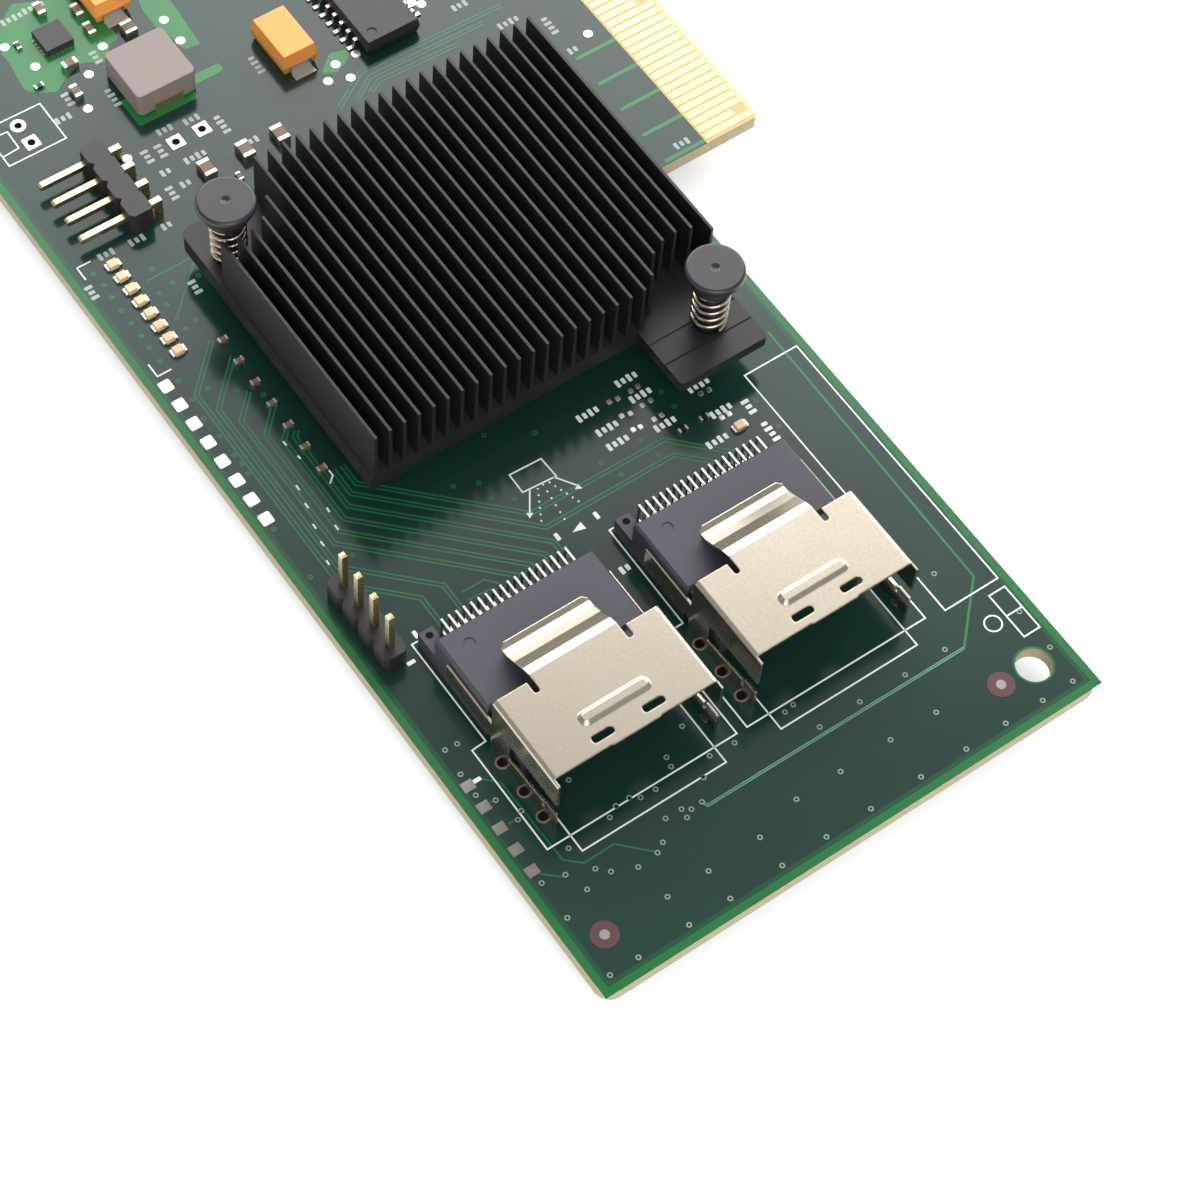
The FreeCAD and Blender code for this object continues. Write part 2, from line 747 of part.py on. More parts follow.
def make_port_leads(centre):
    """Level runs out of the housing's back, turned down to feet on the board."""
    x_back = place_x(housing_back)
    leads = []
    for y in lead_places(centre):
        path = [(0.0, port_lead_height), (port_lead_reach, port_lead_height),
                (port_lead_reach, solder_gap + port_lead_thickness),
                (port_lead_reach + port_lead_foot, solder_gap + port_lead_thickness)]
        leads.append(strip(path, port_lead_thickness, port_lead_width, -1.0, 0.0, (x_back, y, face_z)))
    return leads


# ---------------------------------------------------------------- headers
def tapered_pin(x, y, z0, z1):
    """Square pin with both ends cut back to a blunt point."""
    half = header_pin / 2.0
    tip = half * 0.55
    def ring(size, z):
        loop = [Vector(x + sx * size, y + sy * size, z) for sx, sy in ((-1, -1), (1, -1), (1, 1), (-1, 1))]
        loop.append(loop[0])
        return Part.makePolygon(loop)
    rings = [ring(tip, z0), ring(half, z0 + header_pin_taper), ring(half, z1 - header_pin_taper), ring(tip, z1)]
    return Part.makeLoft(rings, True, True)


def cell_outline(x, y, half, cut):
    """Eight-sided outline of one header cell."""
    return [(x - half, y - half + cut), (x - half + cut, y - half), (x + half - cut, y - half),
            (x + half, y - half + cut), (x + half, y + half - cut), (x + half - cut, y + half),
            (x - half + cut, y + half), (x - half, y + half - cut)]


def make_upright_header():
    """Upright header: block of notched cells, and its straight pins."""
    places = upright_places()
    cells = [flat_prism(cell_outline(x, y, header_pitch / 2.0, header_corner_cut), face_z, above(header_block))
             for x, y in places]
    block = cells[0].multiFuse(cells[1:])
    pins = [tapered_pin(x, y, above(-header_tail), above(upright_pin_top)) for x, y in places]
    bores = [box(x - header_pin / 2.0, x + header_pin / 2.0, y - header_pin / 2.0, y + header_pin / 2.0,
                 face_z - 1.0, above(header_block) + 1.0) for x, y in places]
    return block.cut(Part.makeCompound(bores)).removeSplitter(), pins


def make_side_header():
    """Side header: block standing on the board, pins pointing past the top edge."""
    half = header_pin / 2.0
    y0 = place_y(side_block_from_top)
    y1 = y0 + header_block
    cells = []
    pins = []
    bores = []
    for x, leg_y in side_places():
        step = y1 + side_step_depth
        profile = [(y0, face_z), (step, face_z), (step, above(side_step_height)), (y1, above(side_step_height)),
                   (y1, above(side_block_height)), (y0, above(side_block_height))]
        reach = header_pitch / 2.0
        cell = end_prism(profile, x - reach, x + reach)
        for side in (-1, 1):
            edge = x + side * reach
            cut = header_corner_cut
            for y in (y0, step):
                cell = cell.cut(flat_prism([(edge - side * cut, y), (edge, y - cut), (edge + side * 0.1, y),
                                            (edge, y + cut)], face_z - 1.0, above(side_block_height) + 1.0))
        cells.append(cell)
        high = side_pin_height + half
        low = side_pin_height - half
        tip_y = place_y(side_pin_tip_from_top)
        run = [(tip_y, above(low + 0.14)), (tip_y, above(high - 0.14)), (tip_y + header_pin_taper, above(high)),
               (leg_y + half, above(high)), (leg_y + half, above(-header_tail)), (leg_y - half, above(-header_tail)),
               (leg_y - half, above(low)), (tip_y + header_pin_taper, above(low))]
        pins.append(end_prism(run, x - half, x + half))
        bores.append(box(x - half, x + half, y0 - 1.0, step + 1.0, above(low), above(high)))
    block = cells[0].multiFuse(cells[1:])
    return block.cut(Part.makeCompound(bores)).removeSplitter(), pins


# ---------------------------------------------------------------- power parts
def make_inductor():
    """Moulded power inductor and its two wrap-round terminals."""
    x = place_x(inductor_from_end)
    y = place_y(inductor_from_top)
    half = inductor_side / 2.0
    z0 = above(inductor_strap_thickness)
    body = flat_prism(cell_outline(x, y, half, inductor_corner), z0, above(inductor_height))
    straps = []
    for side in (-1, 1):
        out = half + inductor_strap_thickness
        wall = [(x + side * half, above(inductor_strap_height)), (x + side * out, above(inductor_strap_height)),
                (x + side * out, face_z), (x + side * (half - 1.4), face_z),
                (x + side * (half - 1.4), z0), (x + side * half, z0)]
        straps.append(side_prism(wall, y - inductor_strap_width / 2.0, y + inductor_strap_width / 2.0))
    return body, straps


def make_tantalums():
    """Moulded chip capacitors with drafted sides and folded end tabs."""
    bodies = []
    tabs = []
    for from_end, from_top in tantalums:
        x = place_x(from_end)
        y = place_y(from_top)
        hx = tantalum_length / 2.0
        hy = tantalum_width / 2.0
        rings = []
        for inset, height in ((tantalum_draft, tantalum_tab_thickness), (0.0, tantalum_tab_height),
                              (tantalum_draft, tantalum_height)):
            loop = [Vector(x + sx * (hx - inset), y + sy * (hy - inset), above(height))
                    for sx, sy in ((-1, -1), (1, -1), (1, 1), (-1, 1), (-1, -1))]
            rings.append(Part.makePolygon(loop))
        bodies.append(Part.makeLoft(rings, True, True))
        for side in (-1, 1):
            edge = hx
            out = edge + tantalum_tab_thickness
            tab = [(x + side * edge, above(tantalum_tab_height)), (x + side * out, above(tantalum_tab_height)),
                   (x + side * out, above(tantalum_tab_thickness)),
                   (x + side * (out + tantalum_tab_reach), above(tantalum_tab_thickness)),
                   (x + side * (out + tantalum_tab_reach), face_z), (x + side * (edge - 1.2), face_z),
                   (x + side * (edge - 1.2), above(tantalum_tab_thickness)),
                   (x + side * edge, above(tantalum_tab_thickness))]
            tabs.append(side_prism(tab, y - tantalum_tab_width / 2.0, y + tantalum_tab_width / 2.0))
    return bodies, tabs


# ---------------------------------------------------------------- small chips
def drafted_body(x, y, length, width, height, standoff, draft):
    """Moulded chip body, widest at its mid height."""
    rings = []
    middle = (standoff + height) / 2.0
    for inset, level in ((draft, standoff), (0.0, middle), (draft, height)):
        loop = [Vector(x + sx * (length / 2.0 - inset), y + sy * (width / 2.0 - inset), above(level))
                for sx, sy in ((-1, -1), (1, -1), (1, 1), (-1, 1), (-1, -1))]
        rings.append(Part.makePolygon(loop))
    return Part.makeLoft(rings, True, True)


def make_leaded_chip():
    """Chip with gull-wing leads along its two long sides."""
    x = place_x(chip_b_from_end)
    y = place_y(chip_b_from_top)
    body = drafted_body(x, y, chip_b_length, chip_b_width, chip_b_height, chip_b_standoff, chip_b_draft)
    body = body.cut(rod(x + chip_b_length / 2.0 - 1.3, y - chip_b_width / 2.0 + 1.3,
                        above(chip_b_height - 0.1), above(chip_b_height) + 1.0, 0.5))
    middle = (chip_b_standoff + chip_b_height) / 2.0 + chip_b_lead_thickness / 2.0
    first = x + (chip_b_leads - 1) * chip_b_lead_pitch / 2.0
    path = [(0.0, middle), (chip_b_lead_reach * 0.4, middle),
            (chip_b_lead_reach * 0.5, chip_b_lead_thickness + solder_gap),
            (chip_b_lead_reach, chip_b_lead_thickness + solder_gap)]
    leads = []
    for i in range(chip_b_leads):
        for side in (-1, 1):
            start = y + side * chip_b_width / 2.0
            leads.append(strip(path, chip_b_lead_thickness, chip_b_lead_width, 0.0, side,
                               (first - i * chip_b_lead_pitch, start, face_z)))
    notch = Part.makeCompound(leads)
    return body.cut(notch), leads


def make_regulator():
    """Small leadless regulator and its edge lands."""
    x = place_x(regulator_from_end)
    y = place_y(regulator_from_top)
    half = regulator_side / 2.0
    body = box(x - half, x + half, y - half, y + half, above(0.1), above(regulator_height))
    lands = []
    span = (regulator_land_count - 1) * regulator_land_pitch / 2.0
    for i in range(regulator_land_count):
        run = -span + i * regulator_land_pitch
        w = regulator_land_width / 2.0
        for side in (-1, 1):
            lands.append(box(x + side * (half - 0.3), x + side * (half + 0.25), y + run - w, y + run + w,
                             face_z, above(0.1)))
            lands.append(box(x + run - w, x + run + w, y + side * (half - 0.3), y + side * (half + 0.25),
                             face_z, above(0.1)))
    return body, lands


# Small two-ended parts: from the free end, from the top edge, length, width, height,
# and the axis their length lies along.
ceramic_caps = (
    (118.20, 17.95, 1.6, 0.8, 0.8, "x"), (115.45, 17.75, 1.6, 0.8, 0.8, "x"), (113.40, 21.10, 1.6, 1.25, 0.9, "x"),
    (112.65, 13.80, 1.6, 0.8, 0.8, "y"), (109.25, 12.50, 1.6, 0.8, 0.8, "x"), (120.40, 14.80, 1.6, 0.8, 0.8, "x"),
    (93.85, 22.70, 2.0, 1.25, 1.0, "x"), (93.70, 26.65, 2.0, 1.25, 1.0, "x"), (93.95, 18.30, 2.0, 1.25, 1.0, "x"),
    (91.60, 20.60, 1.0, 0.5, 0.5, "x"), (90.90, 29.20, 1.0, 0.5, 0.5, "x"),
)
resistors = (
    (117.70, 10.70, 1.0, 0.5, 0.35, "x"), (112.10, 9.90, 1.0, 0.5, 0.35, "y"),
    (43.50, 42.40, 1.0, 0.5, 0.35, "y"), (43.50, 39.90, 1.0, 0.5, 0.35, "y"),
)
side_row_first = 58.60          # row of small capacitors beside the heat sink
side_row_pitch = 2.90
side_row_count = 7
side_row_from_top = 8.90
end_cap_share = 0.22


def two_ended(from_end, from_top, length, width, height, axis):
    """Body and two end terminals of a small chip part."""
    x = place_x(from_end)
    y = place_y(from_top)
    end = length * end_cap_share
    half_l = length / 2.0
    half_w = width / 2.0
    def block(a0, a1, grow):
        w = half_w + grow
        if axis == "x":
            return box(x + a0, x + a1, y - w, y + w, face_z, above(height + grow))
        return box(x - w, x + w, y + a0, y + a1, face_z, above(height + grow))
    body = block(-half_l + end, half_l - end, 0.0)
    return body, [block(-half_l, -half_l + end, 0.02), block(half_l - end, half_l, 0.02)]


def make_small_parts(rows):
    """Bodies and terminals of a list of small chip parts."""
    bodies = []
    ends = []
    for row in rows:
        body, pair = two_ended(*row)
        bodies.append(body)
        ends += pair
    return bodies, ends


def make_lights():
    """Row of status lights and the lone one: lens bodies and terminals."""
    places = [(light_first_from_end + i * light_pitch, light_from_top) for i in range(light_count)]
    places.append((lone_light_from_end, lone_light_from_top))
    lenses = []
    ends = []
    half_w = light_width / 2.0
    for from_end, from_top in places:
        x = place_x(from_end)
        y = place_y(from_top)
        half_lens = light_lens_length / 2.0
        lenses.append(box(x - half_w, x + half_w, y - half_lens, y + half_lens, face_z, above(light_lens_height)))
        for side in (-1, 1):
            ends.append(box(x - half_w, x + half_w, y + side * half_lens, y + side * light_length / 2.0,
                            face_z, above(light_base_height)))
    return lenses, ends


# ---------------------------------------------------------------- chip and pad
def make_chip():
    """Controller package: substrate and a smaller lid."""
    x = place_x(chip_from_end)
    y = place_y(chip_from_top)
    half = chip_side / 2.0
    lid = chip_lid_side / 2.0
    base = box(x - half, x + half, y - half, y + half, face_z, above(chip_body_height))
    cap = box(x - lid, x + lid, y - lid, y + lid, above(chip_body_height), above(chip_body_height + chip_lid_height))
    return base.fuse(cap).removeSplitter()


def make_pad():
    """Thermal pad between the chip's lid and the heat sink."""
    x = place_x(chip_from_end)
    y = place_y(chip_from_top)
    half = pad_side / 2.0
    z0 = chip_body_height + chip_lid_height
    return box(x - half, x + half, y - half, y + half, above(z0), above(z0 + pad_thickness))


# ---------------------------------------------------------------- bracket
def make_bracket():
    """Plain low-profile bracket: plate, top flange, slot tongue, vents and two board tabs."""
    inner = bracket_end_x - bracket_gap
    outer = inner - bracket_sheet
    z0 = -bracket_below
    z1 = z0 + bracket_width
    y0 = top_y - bracket_above_card
    y1 = y0 + bracket_height
    middle = (z0 + z1) / 2.0
    half = bracket_tongue_width / 2.0
    neck = y1 - bracket_tongue_length
    plate = end_prism([(y0, z0), (neck, z0), (neck + 2.0, middle - half), (y1, middle - half), (y1, middle + half),
                       (neck + 2.0, middle + half), (neck, z1), (y0, z1)], outer, inner)
    flange = box(outer - bracket_flange + bracket_sheet, outer, y0, y0 + bracket_sheet, z0, z1)
    slot_r = bracket_flange_slot / 2.0
    slot_x = outer - bracket_flange + 4.5
    slot_z = z1 - 4.2
    slot_reach = z1 + 4.0 - (slot_z - slot_r)
    slot = rounded_outline(slot_x, z1 + 4.0 - slot_reach / 2.0, bracket_flange_slot, slot_reach, slot_r * 0.98)
    cutters = [side_prism(slot, y0 - 1.0, y0 + bracket_sheet + 1.0)]
    vent_middle = y0 + 39.0
    vent_z = middle + 1.6
    for i in range(vent_count):
        y = vent_middle + (i - (vent_count - 1) / 2.0) * vent_pitch
        vent = rounded_outline(y, vent_z, vent_width, vent_length, vent_width * 0.49)
        cutters.append(end_prism(vent, outer - 1.0, inner + 1.0))
    tabs = []
    tab_top = under_z
    for from_top in bracket_tabs_from_top:
        y = place_y(from_top)
        tabs.append(box(inner, inner + bracket_tab_length, y, y + bracket_tab_width,
                        tab_top - bracket_sheet, tab_top))
    for x, y in screw_places():
        cutters.append(rod(x, y, tab_top - bracket_sheet - 1.0, tab_top + 0.5, screw_radius))
    return plate.multiFuse([flange] + tabs).cut(Part.makeCompound(cutters)).removeSplitter()


def make_screws():
    """Two pan-head screws through the board into the bracket's tabs."""
    screws = []
    bottom = -board_thickness - bracket_sheet - screw_past_tab
    edge = screw_head_edge
    for x, y in screw_places():
        body = turned(x, y, [
            (0.0, bottom), (screw_radius, bottom), (screw_radius, 0.0), (screw_head_radius, 0.0),
            (screw_head_radius, screw_head_height - edge), (screw_head_radius - edge, screw_head_height),
            (0.0, screw_head_height)])
        w = screw_recess_width / 2.0
        r = screw_recess_length / 2.0
        z = above(screw_head_height - screw_recess_depth)
        cross = [box(x - r, x + r, y - w, y + w, z, z + 3.0), box(x - w, x + w, y - r, y + r, z, z + 3.0)]
        screws.append(body.cut(Part.makeCompound(cross)).removeSplitter())
    return screws


# ---------------------------------------------------------------- underside
under_cap_columns = 5
under_cap_rows = 3
under_cap_pitch = 4.2
under_cap_length = 1.6
under_cap_width = 0.8
under_cap_height = 0.8


def make_under_caps():
    """Decoupling capacitors on the solder side, beneath the controller."""
    bodies = []
    ends = []
    end = under_cap_length * end_cap_share
    for i in range(under_cap_columns):
        for j in range(under_cap_rows):
            x = place_x(chip_from_end) + (i - (under_cap_columns - 1) / 2.0) * under_cap_pitch
            y = place_y(chip_from_top) + (j - (under_cap_rows - 1) / 2.0) * under_cap_pitch
            half = under_cap_length / 2.0
            w = under_cap_width / 2.0
            bodies.append(box(x - half + end, x + half - end, y - w, y + w, under_z - under_cap_height, under_z))
            for side in (-1, 1):
                ends.append(box(x + side * (half - end), x + side * half, y - w, y + w,
                                under_z - under_cap_height, under_z))
    return bodies, ends


def main():
    os.makedirs("parts", exist_ok=True)
    save("circuit_board", make_board())
    save("edge_contacts_component_side", make_contacts(1, (31, 48)))
    save("edge_contacts_solder_side", make_contacts(-1, (1,)))
    save("controller_chip", make_chip())
    save("thermal_pad", make_pad())
    save("heatsink", make_heatsink())
    for name, (x, y) in zip(("front", "rear"), pin_places()):
        save("push_pin_%s" % name, make_pin(x, y))
        save("push_pin_spring_%s" % name, make_spring(x, y))
    for name, centre in zip(("a", "b"), port_centres()):
        save("port_%s_housing" % name, make_housing(centre))
        save("port_%s_shell" % name, make_shell(centre))
        save("port_%s_leads" % name, make_port_leads(centre))
    block, pins = make_upright_header()
    save("upright_header_block", block)
    save("upright_header_pins", pins)
    block, pins = make_side_header()
    save("side_header_block", block)
    save("side_header_pins", pins)
    body, straps = make_inductor()
    save("power_inductor", body)
    save("power_inductor_terminals", straps)
    bodies, tabs = make_tantalums()
    save("tantalum_capacitors", bodies)
    save("tantalum_terminals", tabs)
    body, leads = make_leaded_chip()
    save("memory_chip", body)
    save("memory_chip_leads", leads)
    body, lands = make_regulator()
    save("regulator_chip", body)
    save("regulator_lands", lands)
    row = tuple((side_row_first + i * side_row_pitch, side_row_from_top, 1.0, 0.5, 0.5, "y")
                for i in range(side_row_count))
    bodies, ends = make_small_parts(ceramic_caps + row)
    save("ceramic_capacitors", bodies)
    save("ceramic_capacitor_ends", ends)
    bodies, ends = make_small_parts(resistors)
    save("chip_resistors", bodies)
    save("chip_resistor_ends", ends)
    lenses, ends = make_lights()
    save("status_lights", lenses)
    save("status_light_terminals", ends)
    bodies, ends = make_under_caps()
    save("underside_capacitors", bodies)
    save("underside_capacitor_ends", ends)
    save("bracket", make_bracket())
    save("bracket_screws", make_screws())


if __name__ == "__main__":
    main()
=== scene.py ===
import logging
import math
from dataclasses import dataclass, field
from enum import Enum
from typing import Sequence

import bmesh
import bpy
from bmesh.types import BMesh, BMFace, BMVert
from mathutils import Matrix, Vector


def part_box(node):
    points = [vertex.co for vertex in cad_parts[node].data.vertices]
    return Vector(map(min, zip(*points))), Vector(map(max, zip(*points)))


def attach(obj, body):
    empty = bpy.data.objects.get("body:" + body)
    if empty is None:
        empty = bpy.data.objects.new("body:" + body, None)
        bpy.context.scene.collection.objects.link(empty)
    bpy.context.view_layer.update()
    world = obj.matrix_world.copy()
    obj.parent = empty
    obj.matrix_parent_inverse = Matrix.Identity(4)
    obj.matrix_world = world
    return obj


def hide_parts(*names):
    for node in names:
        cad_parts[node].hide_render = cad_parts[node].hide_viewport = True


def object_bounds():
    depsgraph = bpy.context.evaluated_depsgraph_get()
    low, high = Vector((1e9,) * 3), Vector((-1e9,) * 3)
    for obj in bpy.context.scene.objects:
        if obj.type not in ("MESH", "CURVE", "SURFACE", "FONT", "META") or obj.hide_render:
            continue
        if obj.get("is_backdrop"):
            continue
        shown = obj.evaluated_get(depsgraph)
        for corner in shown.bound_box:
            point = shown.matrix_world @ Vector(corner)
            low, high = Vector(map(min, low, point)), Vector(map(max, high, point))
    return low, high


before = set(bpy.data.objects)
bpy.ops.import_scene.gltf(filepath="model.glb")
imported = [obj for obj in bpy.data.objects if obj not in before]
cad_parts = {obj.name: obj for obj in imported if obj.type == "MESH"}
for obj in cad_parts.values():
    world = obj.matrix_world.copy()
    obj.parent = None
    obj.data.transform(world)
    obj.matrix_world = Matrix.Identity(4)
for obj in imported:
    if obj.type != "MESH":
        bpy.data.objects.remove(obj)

LOG = logging.getLogger("controller_card")
MM = 0.001          # every class below works in millimetres; meshes are written in metres
ROOT = "root"
CONTACTS = "edge_contacts_component_side"
EPOXY_IOR = 1.5
RELIEF_MM = 0.02            # depth of a finish's grain, where it has none of its own
SAME_PLACE_MM = 0.0005      # corners closer than this are one corner
CREASE_DEGREES = 35         # sharper edges than this stay crisp on smooth pieces
Place = tuple[float, float]     # (distance from the free end, distance from the top edge)
Path = tuple[Place, ...]
Mark = tuple[Place, int, bool]  # (middle of a row of blocks, their number, whether it runs across)
Profile = tuple[tuple[float, float], ...]
Span = tuple[float, float]
Point = tuple[float, float, float]
Colour = tuple[float, float, float, float]
Socket = bpy.types.NodeSocket
WHITE: Colour = (1.0, 1.0, 1.0, 1.0)


def linear(hex_colour: str) -> Colour:
    """Turn an sRGB hex value into a linear colour.

    Args:
        hex_colour: Six hex digits with a leading hash.

    Returns:
        Red, green, blue and an alpha of one.
    """
    parts = [int(hex_colour[i:i + 2], 16) / 255.0 for i in (1, 3, 5)]
    out = [c / 12.92 if c <= 0.04045 else ((c + 0.055) / 1.055) ** 2.4 for c in parts]
    return (out[0], out[1], out[2], 1.0)


class Nodes:
    """A node tree, with short calls for what the finishes share."""

    def __init__(self, tree: bpy.types.NodeTree) -> None:
        """Take over a tree and empty it."""
        self.tree = tree
        tree.nodes.clear()

    def add(self, kind: str, inputs: dict, **attributes: str | int) -> bpy.types.Node:
        """Add a node.

        Args:
            kind: Blender's type name of the node.
            inputs: What goes into its sockets, by name or number: another node's socket, a hex
                colour, or a plain value.
            attributes: The node's own options.

        Returns:
            The new node.
        """
        node = self.tree.nodes.new(kind)
        for name, option in attributes.items():
            setattr(node, name, option)
        for key, value in inputs.items():
            if isinstance(value, Socket):
                self.tree.links.new(value, node.inputs[key])
            else:
                node.inputs[key].default_value = linear(value) if isinstance(value, str) else value
        return node

    def place(self) -> Socket:
        """Object coordinates."""
        return self.add("ShaderNodeTexCoord", {}).outputs["Object"]

    def noise(self, place: Socket, size_mm: float, detail: float, roughness: float = 0.5) -> Socket:
        """Noise whose features are about size_mm across."""
        return self.add("ShaderNodeTexNoise", {"Vector": place, "Scale": 1.0 / (size_mm * MM),
                                               "Detail": detail, "Roughness": roughness}).outputs["Fac"]

    def blend(self, factor: Socket, low: str | Socket, high: str | Socket) -> Socket:
        """Mix two colours, each a hex value or a socket."""
        return self.add("ShaderNodeMix", {0: factor, 6: low, 7: high}, data_type="RGBA").outputs[2]

    def maths(self, operation: str, first: Socket, second: float | Socket = 0.0) -> Socket:
        """Work on one value, or on two."""
        return self.add("ShaderNodeMath", {0: first, 1: second}, operation=operation).outputs[0]

    def remap(self, value: Socket, low: float, high: float | Socket, span: Span = (0.0, 1.0),
              kind: str = "LINEAR") -> Socket:
        """Stretch a value so that span becomes low to high."""
        return self.add("ShaderNodeMapRange", {"Value": value, "From Min": span[0], "From Max": span[1],
                                               "To Min": low, "To Max": high},
                        interpolation_type=kind).outputs[0]

    def upward(self, vector: Socket) -> Socket:
        """Upward part of a vector."""
        return self.add("ShaderNodeSeparateXYZ", {0: vector}).outputs["Z"]

    def facing_up(self) -> Socket:
        """Upward part of the surface normal."""
        return self.upward(self.add("ShaderNodeNewGeometry", {}).outputs["Normal"])

    def relief(self, height: Socket, strength: float, depth_mm: float = RELIEF_MM,
               round_mm: float = 0.0) -> Socket:
        """Raise a grain.

        Args:
            height: The grain.
            strength: How much of it shows.
            depth_mm: Its depth.
            round_mm: Radius to which corners look rounded, or nought for sharp ones.

        Returns:
            The surface normal.
        """
        inputs = {"Height": height, "Strength": strength, "Distance": depth_mm * MM}
        if round_mm:
            corner = self.add("ShaderNodeBevel", {"Radius": round_mm * MM}, samples=4)
            inputs["Normal"] = corner.outputs[0]
        return self.add("ShaderNodeBump", inputs).outputs[0]

    def surface(self, inputs: dict) -> None:
        """End the tree in a surface with the given inputs."""
        shader = self.add("ShaderNodeBsdfPrincipled", inputs)
        self.add("ShaderNodeOutputMaterial", {"Surface": shader.outputs["BSDF"]})


# ---- finishes
@dataclass(frozen=True)
class Finish:
    """A real material and how its surface was made."""

    name: str

    def shade(self, nodes: Nodes) -> None:
        """Lay the nodes of the surface."""
        raise NotImplementedError

    def build(self) -> bpy.types.Material:
        """Make the material.

        Returns:
            A node material named for the real one.
        """
        material = bpy.data.materials.new(self.name)
        material.use_nodes = True
        self.shade(Nodes(material.node_tree))
        return material


@dataclass(frozen=True)
class Laminate(Finish):
    """Epoxy-glass board under glossy green solder mask, with its routed tan edge.

    The mask is cured liquid epoxy: it lies smooth, a little thicker and darker
    in broad patches, and the routed edge shows dull glass fibre.
    """

    mask: str = "#193730"
    mask_deep: str = "#15302a"
    side: str = "#b8ad8f"
    side_fibre: str = "#94886a"
    bevel: str = "#ecc084"
    patch_mm: float = 18.0
    weave_mm: float = 0.55
    fibre_mm: float = 0.35
    flat_from: float = 0.95
    sloping_from: float = 0.3
    side_roughness: float = 0.75
    mask_roughness: float = 0.15
    weave_strength: float = 0.06

    def shade(self, nodes: Nodes) -> None:
        """Mix mask on the faces with bare fibre on the sides and the tongue's bevel.

        Args:
            nodes: The material's nodes, empty so far.
        """
        place = nodes.place()
        steep = nodes.maths("ABSOLUTE", nodes.facing_up())
        face = nodes.maths("GREATER_THAN", steep, self.flat_from)
        slope = nodes.maths("GREATER_THAN", steep, self.sloping_from)
        side = nodes.blend(nodes.noise(place, self.fibre_mm, 4.0), self.side_fibre, self.side)
        mask = nodes.blend(nodes.noise(place, self.patch_mm, 3.0), self.mask_deep, self.mask)
        weave = nodes.noise(place, self.weave_mm, 2.0)
        nodes.surface({"Base Color": nodes.blend(face, nodes.blend(slope, side, self.bevel), mask),
                       "Roughness": nodes.remap(face, self.side_roughness, self.mask_roughness),
                       "Normal": nodes.relief(weave, self.weave_strength), "IOR": EPOXY_IOR})


@dataclass(frozen=True)
class Coating(Finish):
    """Flat epoxy layer: mask over copper, printing ink, or a moulded lens.

    It gives an even colour with a faint change of shade from layer thickness.
    """

    light: str
    dark: str
    roughness: float
    grain_mm: float = 2.0
    ior: float = EPOXY_IOR

    def shade(self, nodes: Nodes) -> None:
        """One even colour with a slow change of shade.

        Args:
            nodes: The material's nodes, empty so far.
        """
        tone = nodes.noise(nodes.place(), self.grain_mm, 3.0)
        nodes.surface({"Base Color": nodes.blend(tone, self.dark, self.light),
                       "Roughness": self.roughness, "IOR": self.ior})


@dataclass(frozen=True)
class Moulding(Finish):
    """Injection-moulded thermoplastic or epoxy mould compound.

    Fine filler and the tool's spark-eroded texture give it a soft, even grain.
    """

    body: str
    speck: str
    roughness: float
    grain_mm: float
    grain_depth_mm: float = 0.01
    round_mm: float = 0.08
    smoother_by: float = 0.08
    rougher_by: float = 0.10
    grain_strength: float = 0.35

    def shade(self, nodes: Nodes) -> None:
        """Speckled body colour, grained surface and softly rounded corners.

        Args:
            nodes: The material's nodes, empty so far.
        """
        grain = nodes.noise(nodes.place(), self.grain_mm, 3.0, 0.6)
        low, high = self.roughness - self.smoother_by, self.roughness + self.rougher_by
        normal = nodes.relief(grain, self.grain_strength, self.grain_depth_mm, self.round_mm)
        nodes.surface({"Base Color": nodes.blend(grain, self.speck, self.body),
                       "Roughness": nodes.remap(grain, low, high), "Normal": normal,
                       "IOR": EPOXY_IOR})


@dataclass(frozen=True)
class Plating(Finish):
    """Plated or bare metal: nickel, tin, gold, steel wire.

    Rolled sheet and dipped leads carry a fine mottle that breaks up the shine.
    """

    bright: str
    dull: str
    roughness: float
    spread: float
    mottle_mm: float
    round_mm: float
    bump: float
    smudge_mm: float = 7.0
    smudge: float = 0.35

    def shade(self, nodes: Nodes) -> None:
        """Metal whose colour and shine both follow the mottle and broad smudges.

        Args:
            nodes: The material's nodes, empty so far.
        """
        place = nodes.place()
        mottle = nodes.noise(place, self.mottle_mm, 5.0, 0.65)
        broad = nodes.noise(place, self.smudge_mm, 2.0)
        wear = nodes.add("ShaderNodeMix", {0: self.smudge, 2: mottle, 3: broad},
                         data_type="FLOAT").outputs[0]
        low, high = self.roughness + self.spread, self.roughness - self.spread
        nodes.surface({"Base Color": nodes.blend(wear, self.dull, self.bright),
                       "Roughness": nodes.remap(wear, low, high), "Metallic": 1.0,
                       "Normal": nodes.relief(mottle, self.bump, round_mm=self.round_mm)})


